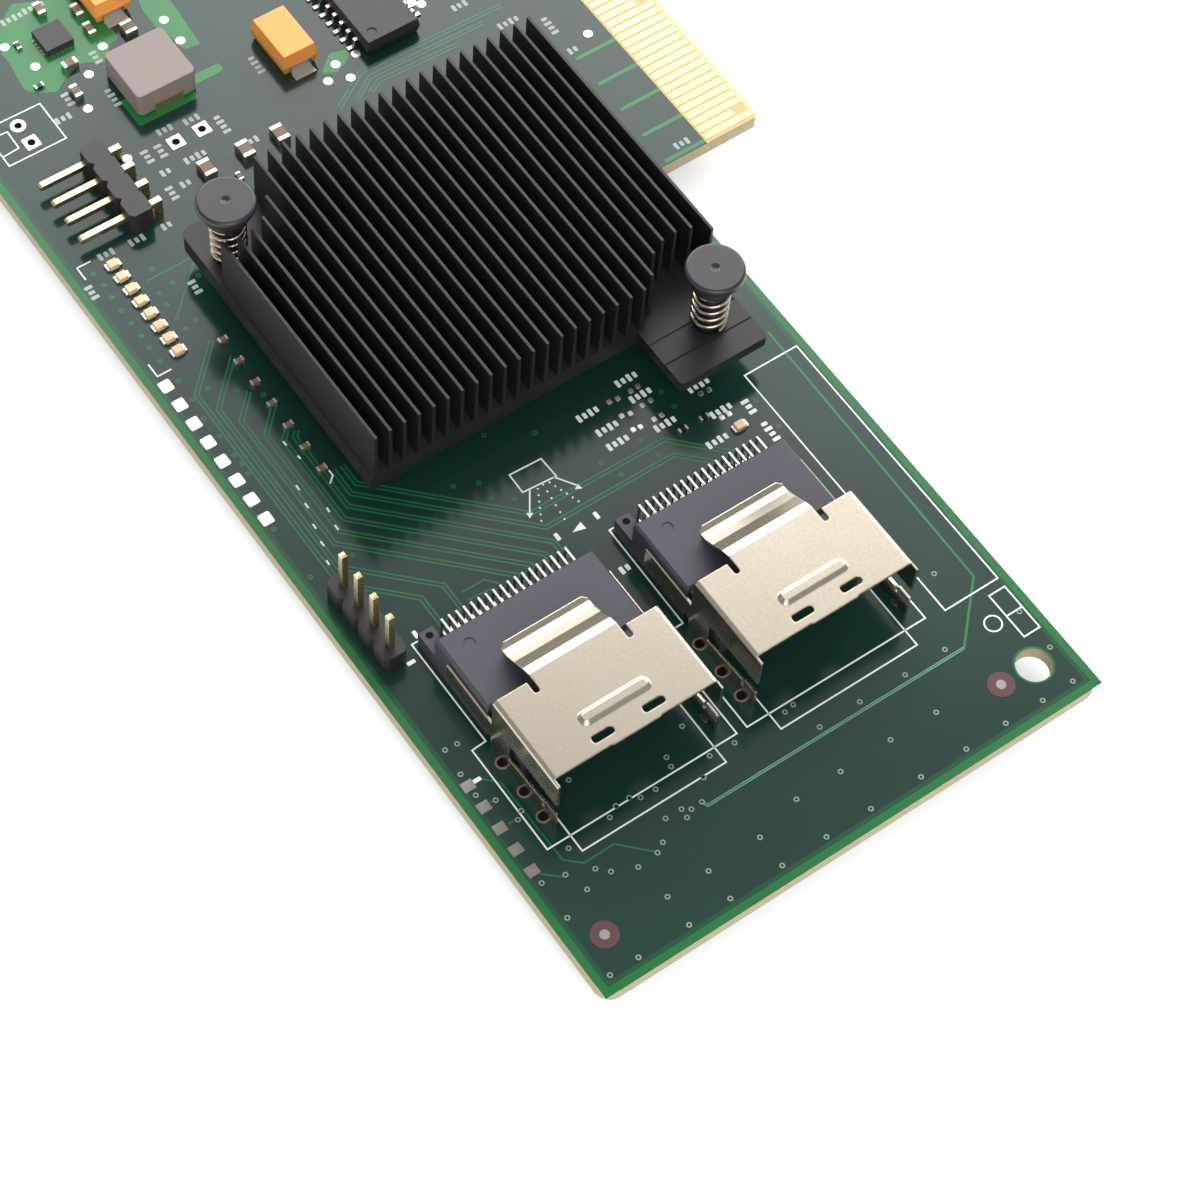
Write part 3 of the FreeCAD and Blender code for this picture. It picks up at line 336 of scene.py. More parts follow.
@dataclass(frozen=True)
class Anodised(Finish):
    """Black anodised extruded aluminium: dull, with die lines along the fins.

    The fins' up-facing tops, above a set height, carry a painted highlight: a tone of their own.
    """

    face: str = "#262427"
    face_warm: str = "#302d2f"
    # Painted highlight: the tone for the fins' up-facing tops.
    tip: str = "#2d282a"
    highlight_height_mm: float = 11.5
    highlight_facing: Span = (0.6, 0.9)
    line_mm: float = 0.30
    line_stretch: float = 0.04
    line_strength: float = 0.15
    round_mm: float = 0.08
    metallic: float = 0.35
    roughness: float = 0.42

    def shade(self, nodes: Nodes) -> None:
        """Dark oxide with faint long lines, and a painted highlight on the fins' up-facing tops.

        Args:
            nodes: The material's nodes, empty so far.
        """
        place = nodes.place()
        drawn = nodes.add("ShaderNodeMapping", {"Vector": place,
                                                "Scale": (self.line_stretch, 1.0, 1.0)}).outputs[0]
        lines = nodes.noise(drawn, self.line_mm, 4.0)
        high = nodes.maths("GREATER_THAN", nodes.upward(place), self.highlight_height_mm * MM)
        top_highlight = nodes.remap(nodes.facing_up(), 0.0, high, self.highlight_facing)
        face = nodes.blend(lines, self.face, self.face_warm)
        nodes.surface({"Base Color": nodes.blend(top_highlight, face, self.tip), "Metallic": self.metallic,
                       "Roughness": self.roughness,
                       "Normal": nodes.relief(lines, self.line_strength, round_mm=self.round_mm)})


class Stock(Enum):
    """Every finish on the card."""

    BOARD = Laminate("FR4 laminate with green solder mask")
    TRACK = Coating("solder mask over copper track", "#1d6a40", "#195c38", 0.20)
    GUARD = Coating("solder mask over guard track", "#2f7a4c", "#1f6038", 0.20, 5.0)
    # Painted highlight: pale strips for light glinting off the guard track's ridge.
    GUARD_HIGHLIGHT = Coating("painted highlight on mask at the guard track's edges", "#8fb8a2", "#4f8468", 0.30, 1.2)
    PLANE = Coating("solder mask over copper area", "#20803f", "#1a7036", 0.20, 6.0)
    BORDER = Coating("mask over bare laminate border", "#0f6a34", "#0c5e2d", 0.22, 6.0)
    BORDER_SOFT = Coating("mask over border and copper edge", "#0f4a30", "#0d422b", 0.20, 6.0)
    INK = Coating("white epoxy legend ink", "#f1f5f3", "#dde5e1", 0.55, 0.4)
    INK_THIN = Coating("thin white legend ink", "#b4beba", "#98a49f", 0.6, 0.3)
    VIA_RING = Coating("mask drawn thin over a via pad", "#8da089", "#6a8570", 0.30, 0.6)
    # Painted shade: dark discs laid where the shaded inside of a hole shows.
    HOLE_SHADE = Coating("painted shade in an open plated hole", "#1c1a17", "#12110f", 0.7, 0.5, 1.05)
    GLASS = Coating("bare laminate between contacts", "#d6b878", "#c8a866", 0.45, 0.4)
    BARE = Coating("bare laminate round a sight mark", "#512d2a", "#472624", 0.4, 0.5)
    GOLD = Plating("hard gold plating", "#f6d48c", "#ecc274", 0.24, 0.06, 0.8, 0.03, 0.05)
    SOLDER = Plating("reflowed tin solder", "#f6f4f0", "#d8d4cf", 0.34, 0.10, 0.4, 0.15, 0.3)
    PAD_TIN = Plating("dull tinned pad", "#a9a39c", "#6d6863", 0.50, 0.10, 0.18, 0.35, 0.1)
    COPPER_RIM = Plating("tinned copper collar", "#b3a596", "#857565", 0.40, 0.08, 0.3, 0.1, 0.05)
    STRAP = Plating("dull tinned strap", "#d2c8a6", "#a99e7e", 0.52, 0.08, 0.3, 0.10, 0.15)
    TIN = Plating("matte tin plating", "#dedcd4", "#bdbab2", 0.30, 0.10, 0.25, 0.05, 0.15)
    NICKEL = Plating("nickel plated bronze sheet", "#cfc8bb", "#a0947f", 0.24, 0.08, 0.32, 0.18, 0.10)
    SPRING = Plating("nickel plated spring wire", "#cfc3b0", "#8f8474", 0.22, 0.08, 0.6, 0.05, 0.1)
    PIN_GOLD = Plating("gold flashed square pin", "#e6d9b4", "#d0c094", 0.28, 0.04, 0.8, 0.04, 0.03)
    STEEL = Plating("zinc plated steel sheet", "#d0d2d4", "#b4b7ba", 0.34, 0.08, 1.2, 0.15, 0.1)
    SINK = Anodised("black anodised aluminium extrusion")
    CHIP = Moulding("epoxy mould compound", "#3a3638", "#2b2829", 0.48, 0.10)
    PAD = Moulding("silicone thermal pad", "#74757c", "#66676e", 0.7, 0.3)
    PIN_NYLON = Moulding("moulded nylon push pin", "#2c292f", "#262329", 0.30, 0.20, 0.004, 0.06)
    HOUSING = Moulding("glass filled liquid crystal polymer", "#444350", "#37363f", 0.52, 0.14, 0.012)
    HEADER = Moulding("black glass filled polyester", "#322d2f", "#231f21", 0.45, 0.12, 0.012)
    HEADER_DARK = Moulding("black nylon header body", "#231f20", "#181516", 0.42, 0.12, 0.012)
    FERRITE = Moulding("pressed iron powder compound", "#a3948d", "#857872", 0.62, 0.10, 0.02, 0.2)
    TANTALUM = Moulding("orange epoxy capacitor case", "#ffac55", "#fb9e43", 0.42, 0.35, 0.006, 0.12)
    CERAMIC = Moulding("fired barium titanate ceramic", "#7a624e", "#6a5342", 0.45, 0.10, 0.006, 0.06)
    RESISTOR = Moulding("glazed resistor film", "#1d1c1f", "#141316", 0.25, 0.2, 0.002, 0.04)
    LENS = Coating("epoxy light emitting diode lens", "#ecd2a8", "#dcbb8a", 0.35, 0.4)


class Level(Enum):
    """Tops of the thin layers, in millimetres above the board's face."""

    BORDER_INNER = 0.011
    PLANE = 0.012
    BORDER = 0.015
    TRACK = 0.02
    GUARD = 0.022
    GUARD_HIGHLIGHT = 0.024
    RAISED = 0.03
    HOLED_PAD = 0.04
    MOUTH = 0.045
    SOLDER = 0.05


class Palette:
    """Builds each finish once and puts it on meshes."""

    def __init__(self) -> None:
        """Start with no materials."""
        self._made: dict[Stock, bpy.types.Material] = {}

    def material(self, stock: Stock) -> bpy.types.Material:
        """Give a finish's material, which is built on first use.

        Args:
            stock: The finish.

        Returns:
            Its material.
        """
        if stock not in self._made:
            self._made[stock] = stock.value.build()
        return self._made[stock]

    def dress(self, node: str, stock: Stock) -> None:
        """Put a finish on a construction node.

        Args:
            node: The node's name.
            stock: Its finish.
        """
        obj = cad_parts[node]
        if not obj.material_slots:
            obj.data.materials.append(self.material(stock))
        for slot in obj.material_slots:
            slot.material = self.material(stock)


# ---- places
@dataclass(frozen=True)
class Deck:
    """The board's ends, top edge and component face, read from the construction."""

    free_end: float
    bracket_end: float
    top_edge: float
    face: float

    @classmethod
    def read(cls) -> "Deck":
        """Measure the board node, in millimetres."""
        low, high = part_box("circuit_board")
        return cls(high.x / MM, low.x / MM, low.y / MM, high.z / MM)

    def at(self, place: Place) -> Vector:
        """Point on the component face, from distances to the free end and the top edge."""
        return Vector((self.free_end - place[0], self.top_edge + place[1], self.face))


def box_mm(node: str) -> tuple[Vector, Vector]:
    """Lowest and highest corners of a construction node, in millimetres."""
    low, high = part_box(node)
    return low / MM, high / MM


def circle(middle: Place, radius: float, count: int) -> list[Place]:
    """Places round a circle, for a closed ribbon."""
    turns = [2.0 * math.pi * i / count for i in range(count)]
    return [(middle[0] + radius * math.cos(t), middle[1] + radius * math.sin(t)) for t in turns]


class Bench:
    """Turns finished bmeshes into pieces of the card."""

    def __init__(self, palette: Palette) -> None:
        """Keep the palette that dresses the pieces."""
        self.palette = palette

    def piece(self, name: str, bm: BMesh, stocks: Sequence[Stock], slot: str,
              replaces: Sequence[str] = (), smooth: bool = False) -> None:
        """Write a bmesh in millimetres as a piece in metres.

        Args:
            name: The piece's name.
            bm: Its shape; freed here.
            stocks: Finishes by material index.
            slot: Not used.
            replaces: Construction nodes it stands for.
            smooth: Whether curved faces are shaded smooth, with crisp edges kept.
        """
        bmesh.ops.remove_doubles(bm, verts=bm.verts[:], dist=SAME_PLACE_MM)
        bmesh.ops.scale(bm, vec=(MM, MM, MM), verts=bm.verts[:])
        for f in bm.faces:
            f.smooth = smooth
        if smooth:
            for e in bm.edges:
                if len(e.link_faces) == 2 and e.calc_face_angle(0.0) > math.radians(CREASE_DEGREES):
                    e.smooth = False
        mesh = bpy.data.meshes.new(name)
        bm.to_mesh(mesh)
        bm.free()
        obj = bpy.data.objects.new(name, mesh)
        bpy.context.scene.collection.objects.link(obj)
        for stock in stocks:
            mesh.materials.append(self.palette.material(stock))
        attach(obj, ROOT)
        if replaces:
            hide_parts(*replaces)
        LOG.info("%s: %d faces", name, len(mesh.polygons))


# ---- flat work on the board
@dataclass(frozen=True)
class Ring:
    """A round pad: its radii, the sides of its circle and the material index of its core."""

    outer: float
    inner: float
    sides: int = 14
    core: int = 1


@dataclass(frozen=True)
class Pad:
    """A rectangular pad: its lengths along and across the card, and the cut of its corners."""

    along: float
    across: float
    corner: float = 0.0


@dataclass(frozen=True)
class Row:
    """Evenly spaced places, from the first towards the free end."""

    count: int
    first: Place
    pitch: float

    def places(self) -> list[Place]:
        """Every place of the row."""
        return [(self.first[0] - i * self.pitch, self.first[1]) for i in range(self.count)]


@dataclass
class Artwork:
    """Flat shapes laid on the board's face: ribbons, pads, areas and rings."""

    deck: Deck
    bench: Bench
    level: Level
    bm: BMesh = field(default_factory=bmesh.new)
    sharpest_mitre: float = 0.35

    def lay(self, name: str, *stocks: Stock, slot: str = "board") -> None:
        """Hand everything drawn so far to the bench as one piece."""
        self.bench.piece(name, self.bm, stocks, slot)

    def ribbon(self, path: Sequence[Place], width: float, closed: bool = False,
               shift: float = 0.0) -> None:
        """Lay a flat strip along a path with mitred corners.

        Args:
            path: Corner places.
            width: Strip width.
            closed: Whether the last corner joins the first.
            shift: Distance to the left of the path.
        """
        points = [self.deck.at(p).to_2d() for p in path]
        count = len(points)
        rungs = []
        for i, point in enumerate(points):
            before = points[i - 1] if i or closed else None
            after = points[(i + 1) % count] if i + 1 < count or closed else None
            into = (point - before).normalized() if before is not None else None
            out = (after - point).normalized() if after is not None else into
            into = into if into is not None else out
            along = (into + out).normalized()
            left = Vector((-along.y, along.x))
            reach = 1.0 / max(left.dot(Vector((-into.y, into.x))), self.sharpest_mitre)
            middle = point + left * shift * reach
            half = left * (width / 2.0) * reach
            rungs.append([self.bm.verts.new((*side, self.deck.face))
                          for side in (middle + half, middle - half)])
        joints = list(zip(rungs, rungs[1:] + rungs[:1]))
        self._raise([self.bm.faces.new((*near, *reversed(far)))
                     for near, far in (joints if closed else joints[:-1])])

    def block(self, place: Place, pad: Pad) -> None:
        """Lay a rectangular pad.

        Args:
            place: Its centre.
            pad: Its sizes.
        """
        made = bmesh.ops.create_grid(self.bm, x_segments=1, y_segments=1, size=0.5)["verts"]
        bmesh.ops.scale(self.bm, vec=(pad.along, pad.across, 1.0), verts=made)
        bmesh.ops.translate(self.bm, vec=self.deck.at(place), verts=made)
        if pad.corner:
            made = self._cut(made, pad.corner, 2)
        self._raise(list({f for v in made for f in v.link_faces}))

    def area(self, corners: Sequence[Place], soften: float = 0.0) -> None:
        """Lay a filled area with rounded corners.

        Args:
            corners: Its corner places, in order.
            soften: Length cut from the sides at each corner.
        """
        verts = [self.bm.verts.new(self.deck.at(c)) for c in corners]
        face = self.bm.faces.new(verts)
        if soften:
            face = self._cut(verts, soften, 3)[0].link_faces[0]
        self._raise([face])

    def ring(self, place: Place, ring: Ring) -> None:
        """Lay a round pad with a differently finished core.

        Args:
            place: Its centre.
            ring: Its sizes.
        """
        made = bmesh.ops.create_circle(self.bm, cap_ends=True, segments=ring.sides,
                                       radius=ring.outer)["verts"]
        bmesh.ops.translate(self.bm, vec=self.deck.at(place), verts=made)
        cap = made[0].link_faces[0]
        rim = bmesh.ops.inset_region(self.bm, faces=[cap], thickness=ring.outer - ring.inner,
                                     depth=0.0, use_boundary=True, use_even_offset=True)["faces"]
        cap.material_index = ring.core
        self._raise(rim + [cap])

    def _cut(self, verts: Sequence[BMVert], cut: float, segments: int) -> list[BMVert]:
        """Round the corners of a flat shape and give the corners made."""
        return bmesh.ops.bevel(self.bm, geom=verts, offset=cut, offset_type="OFFSET", segments=segments,
                               profile=0.5, affect="VERTICES", material=-1)["verts"]

    def _raise(self, faces: Sequence[BMFace]) -> None:
        """Give flat faces their thickness, upward from the board.

        Args:
            faces: The flat faces; they stay behind as the underside.
        """
        for f in faces:
            f.normal_update()
            if f.normal.z < 0:
                f.normal_flip()
        made = bmesh.ops.extrude_face_region(self.bm, geom=faces)["geom"]
        lifted = [g for g in made if isinstance(g, BMVert)]
        bmesh.ops.translate(self.bm, vec=(0, 0, self.level.value), verts=lifted)
        for f in faces:
            if f.is_valid:
                f.normal_flip()


@dataclass
class BoardLayer:
    """What every layer on the board's face needs."""

    deck: Deck
    bench: Bench

    def art(self, level: Level) -> Artwork:
        """Start a layer of a given thickness."""
        return Artwork(self.deck, self.bench, level)


@dataclass
class Tracks(BoardLayer):
    """Copper seen through the mask, the bare laminate of the tongue, and the board's border."""

    track: float = 0.19
    pair_gap: float = 0.40
    pairs: tuple[Path, ...] = (
        ((76.72, 8.1), (72.1, 3.5), (47.3, 3.5), (41.87, 8.93), (38.0, 8.93)),
        ((74.02, 8.8), (69.6, 4.38), (48.9, 4.38), (41.87, 11.41), (38.0, 11.41)),
        ((69.73, 7.9), (67.3, 5.5), (51.15, 5.5), (39.0, 17.65), (38.0, 17.65)),
        ((67.82, 9.7), (64.7, 6.6), (52.0, 6.6), (39.3, 19.3), (38.0, 19.3)),
        ((64.3, 8.7), (63.3, 7.68), (52.93, 7.68), (39.5, 21.1), (38.0, 21.1)),
        ((63.6, 9.3), (63.0, 8.75), (53.9, 8.75), (40.1, 22.55), (38.0, 22.55)),
        ((58.0, 9.75), (54.9, 9.75), (41.8, 22.85), (41.7, 37.55), (38.0, 41.2)),
        ((58.0, 10.75), (55.6, 10.75), (43.85, 22.5), (43.6, 37.76), (38.0, 43.3)),
        ((93.6, 33.6), (96.3, 37.9), (96.06, 46.8), (95.85, 54.85)),
        ((93.6, 35.8), (95.3, 38.4), (94.92, 52.08)),
        ((93.6, 37.4), (94.4, 38.9), (94.0, 48.41)),
    )
    singles: tuple[Path, ...] = (
        ((40.33, 12.39), (40.33, 14.8), (39.25, 15.79)), ((39.34, 12.32), (39.2, 14.72)),
        ((86.01, 11.34), (85.96, 6.56)), ((85.51, 11.53), (81.27, 7.2), (80.88, 6.66)),
        ((23.69, 2.83), (22.19, 4.31), (12.92, 4.5), (11.62, 5.91), (11.66, 9.17), (8.87, 11.87)),
        ((12.95, 2.03), (11.42, 3.73)), ((18.48, 2.48), (18.39, 3.49)), ((21.13, 2.34), (21.03, 2.91)),
    )
    guard: Path = ((48.14, 53.56), (15.46, 53.13), (9.96, 47.6), (10.1, 18.35), (10.62, 18.1))
    guard_width: float = 0.24
    guard_highlight_width: float = 0.06
    guard_highlight_shift: float = 0.11
    guard_highlight_from: int = 2       # the corner where its painted highlights start
    areas: tuple[Path, ...] = (
        ((121.17, 10.66), (118.17, 8.92), (116.37, 8.98), (112.65, 8.46), (111.56, 9.25), (110.64, 11.13),
         (111.38, 12.23), (112.56, 14.92), (111.32, 17.3), (113.07, 18.69), (113.24, 19.8), (115.79, 19.99),
         (118.86, 18.91), (120.03, 18.48), (121.39, 16.36), (122.93, 13.02)),
        ((116.48, 24.03), (114.71, 26.8), (113.0, 26.67), (108.13, 26.38), (108.44, 24.53), (110.33, 24.34),
         (112.23, 23.69), (114.88, 23.73)),
        ((106.2, 15.75), (102.45, 15.75), (102.45, 22.6), (106.2, 22.6)),
        ((105.15, 22.9), (105.12, 26.6), (104.05, 26.6), (104.0, 22.9)),
        ((98.3, 34.5), (100.1, 36.6), (99.5, 38.8), (98.3, 37.6), (97.6, 36.0)),
    )
    area_soften: float = 0.3
    gap_strips: Row = Row(5, (85.90, 59.80), 3.88)
    gap_strip: Pad = Pad(0.45, 5.00, 0.1)
    tongue_margin: float = 0.46
    tongue_start: float = 0.25
    key_half: float = 0.97          # from the middle of the key notch to its sides
    border: float = 0.75
    border_soft: float = 0.45
    border_start: float = 0.02
    border_gap: float = 1.2
    long_edge: float = 56.0

    def build(self) -> None:
        """Lay the tracks, areas, bare tongue and border."""
        art = self.art(Level.TRACK)
        for path in self.pairs:
            for side in (-1, 1):
                art.ribbon(path, self.track, shift=side * self.pair_gap / 2.0)
        for path in self.singles:
            art.ribbon(path, self.track)
        art.lay("copper_tracks", Stock.TRACK)

        art = self.art(Level.GUARD)
        art.ribbon(self.guard, self.guard_width)
        art.lay("guard_track", Stock.GUARD)
        # Painted highlight: pale strips along both sides of the guard track, for light glinting off it.
        art = self.art(Level.GUARD_HIGHLIGHT)
        for side in (-1, 1):
            art.ribbon(self.guard[self.guard_highlight_from:], self.guard_highlight_width,
                       shift=side * self.guard_highlight_shift)
        art.lay("guard_track_painted_highlights", Stock.GUARD_HIGHLIGHT)

        art = self.art(Level.PLANE)
        for corners in self.areas:
            art.area(corners, self.area_soften)
        for place in self.gap_strips.places():
            art.block(place, self.gap_strip)
        art.lay("copper_areas", Stock.PLANE)
        self._tongue()
        self._border()

    def _tongue(self) -> None:
        """Bare the laminate under the contacts, on both sides of the key."""
        art = self.art(Level.TRACK)
        low, high = box_mm(CONTACTS)
        top = low.y - self.deck.top_edge - self.tongue_start
        end = high.y - self.deck.top_edge
        for left, right in ((low.x - self.tongue_margin, -self.key_half),
                            (self.key_half, high.x + self.tongue_margin)):
            far, near = self.deck.free_end - left, self.deck.free_end - right
            art.area([(far, top), (near, top), (near, end), (far, end)])
        art.lay("tongue_laminate", Stock.GLASS)

    def _border(self) -> None:
        """Run the pale border round the board, clear of the tongue."""
        length = self.deck.free_end - self.deck.bracket_end
        low, high = box_mm(CONTACTS)
        near = self.deck.free_end - high.x - self.border_gap
        far = self.deck.free_end - low.x + self.border_gap
        start = self.border_start
        bands = (("mask_border", self.border, Stock.BORDER, Level.BORDER),
                 ("mask_border_inner", self.border_soft, Stock.BORDER_SOFT, Level.BORDER_INNER))
        for name, width, stock, level in bands:
            art = self.art(level)
            inset = start + width / 2.0
            low_side = self.long_edge - inset
            art.ribbon([(near, low_side), (inset, low_side), (inset, inset), (length - inset, inset),
                        (length - inset, low_side), (far, low_side)], width)
            art.lay(name, stock)
            start += width


@dataclass
class Holes(BoardLayer):
    """Via pads, sight marks, and the collars of the larger holes."""

    via: Ring = Ring(0.27, 0.13)
    tented_from: float = 38.0       # vias beyond this are under the mask
    vias: Path = (
        (10.62, 6.4), (9.62, 7.38), (8.64, 9.63), (8.83, 11.87), (4.88, 14.57), (4.87, 10.09),
        (1.66, 14.58), (9.39, 4.64), (8.13, 1.63), (1.64, 10.08), (1.62, 4.61), (1.64, 1.59), (11.61, 3.87),
        (12.11, 1.67), (17.73, 50.2), (10.81, 46.01), (10.76, 41.29), (6.11, 41.26), (1.68, 45.87),
        (1.63, 41.21), (1.65, 53.79), (89.49, 2.68), (87.8, 2.77), (86.17, 2.68), (84.31, 2.66),
        (82.53, 2.67), (80.74, 2.68), (79.18, 2.62), (77.3, 2.67), (86.9, 7.64), (84.46, 8.46),
        (83.83, 11.0), (84.09, 6.72), (82.5, 6.65), (79.5, 8.01), (80.65, 6.62), (79.12, 6.68),
        (74.46, 2.9), (71.91, 2.91), (69.51, 2.7), (66.98, 2.9), (64.47, 2.91), (63.24, 2.98),
        (62.01, 2.87), (72.2, 4.87), (70.46, 6.97), (68.73, 8.87), (55.58, 1.63), (49.38, 1.67),
        (49.24, 6.17), (50.31, 18.16), (49.31, 20.37), (47.23, 20.38), (46.01, 22.1), (53.43, 23.77),
        (51.02, 27.98), (44.8, 31.22), (44.82, 35.87), (42.68, 32.11), (46.16, 40.81), (42.41, 47.81),
        (38.81, 47.87), (42.47, 36.33), (48.19, 40.74), (1.66, 20.31), (1.7, 25.28), (1.7, 30.3),
        (1.7, 36.03), (1.64, 50.2), (4.97, 20.32), (6.17, 25.3), (6.17, 30.3), (6.2, 36.04), (10.82, 31.47),
        (10.85, 36.1), (12.54, 19.66), (5.6, 54.3), (10.1, 54.3), (27.67, 1.96), (27.59, 3.22),
        (24.89, 1.75), (22.42, 1.72), (21.03, 2.91), (18.9, 4.2), (18.34, 3.45), (19.07, 9.46),
        (13.55, 5.58), (9.38, 12.85), (11.15, 14.43), (11.11, 16.15), (10.61, 16.89), (10.16, 16.08),
        (10.67, 18.1), (14.01, 21.41), (13.82, 24.06), (15.05, 17.87), (16.04, 18.08), (13.99, 15.39),
        (14.07, 13.79), (13.99, 10.36), (14.64, 12.93), (14.63, 11.47), (17.81, 21.11), (13.8, 29.76),
        (13.99, 30.84),
    )
    sight_marks: Path = (
        (5.02, 3.42), (5.06, 48.05),
    )
    sight: Ring = Ring(1.33, 0.48, 32)
    mount_hole: Place = (4.96, 51.86)
    mount_collar: float = 1.86
    mount_collar_width: float = 0.20
    mount_collar_sides: int = 40
    port_middles: tuple[float, ...] = (14.55, 36.50)        # from the top edge
    tail_rows: tuple[float, ...] = (23.80, 20.34, 17.37)    # from the free end
    tail_half_gap: float = 9.075
    tail: Ring = Ring(0.66, 0.46, 20)
    holed_pads: Path = (
        (98.87, 17.73), (98.86, 20.75), (106.53, 5.74),
    )
    holed_pad: Pad = Pad(1.55, 1.55, 0.08)
    round_pad_place: Place = (109.03, 5.67)
    round_pad: Ring = Ring(0.80, 0.40, 24)
    mouth: Ring = Ring(0.42, 0.30, 20, 0)

    def build(self) -> None:
        """Lay the pads and collars."""
        # Open vias get a dark core of painted shade for the hole.
        art = self.art(Level.RAISED)
        tented = self.art(Level.TRACK)
        for place in self.vias:
            (tented if place[0] > self.tented_from else art).ring(place, self.via)
        art.lay("via_pads", Stock.VIA_RING, Stock.HOLE_SHADE)
        tented.lay("tented_vias", Stock.TRACK, Stock.BORDER_SOFT)

        art = self.art(Level.RAISED)
        for place in self.sight_marks:
            art.ring(place, self.sight)
        art.lay("sight_marks", Stock.BARE, Stock.PAD_TIN)

        art = self.art(Level.RAISED)
        collar = circle(self.mount_hole, self.mount_collar, self.mount_collar_sides)
        art.ribbon(collar, self.mount_collar_width, True)
        art.lay("mount_hole_collar", Stock.BORDER)

        # The tails' holes get dark cores of painted shade.
        art = self.art(Level.RAISED)
        for port in self.port_middles:
            for row in self.tail_rows:
                for side in (-self.tail_half_gap, self.tail_half_gap):
                    art.ring((row, port + side), self.tail)
        art.lay("tail_hole_collars", Stock.COPPER_RIM, Stock.HOLE_SHADE)

        # Holed pads: the round pad's core, and the discs laid next, are painted shade in their holes.
        art = self.art(Level.HOLED_PAD)
        for place in self.holed_pads:
            art.block(place, self.holed_pad)
        art.ring(self.round_pad_place, self.round_pad)
        art.lay("holed_pads", Stock.SOLDER, Stock.HOLE_SHADE, slot="tinned_lead")
        art = self.art(Level.MOUTH)
        for place in self.holed_pads:
            art.ring(place, self.mouth)
        art.lay("hole_mouth_shade", Stock.HOLE_SHADE)


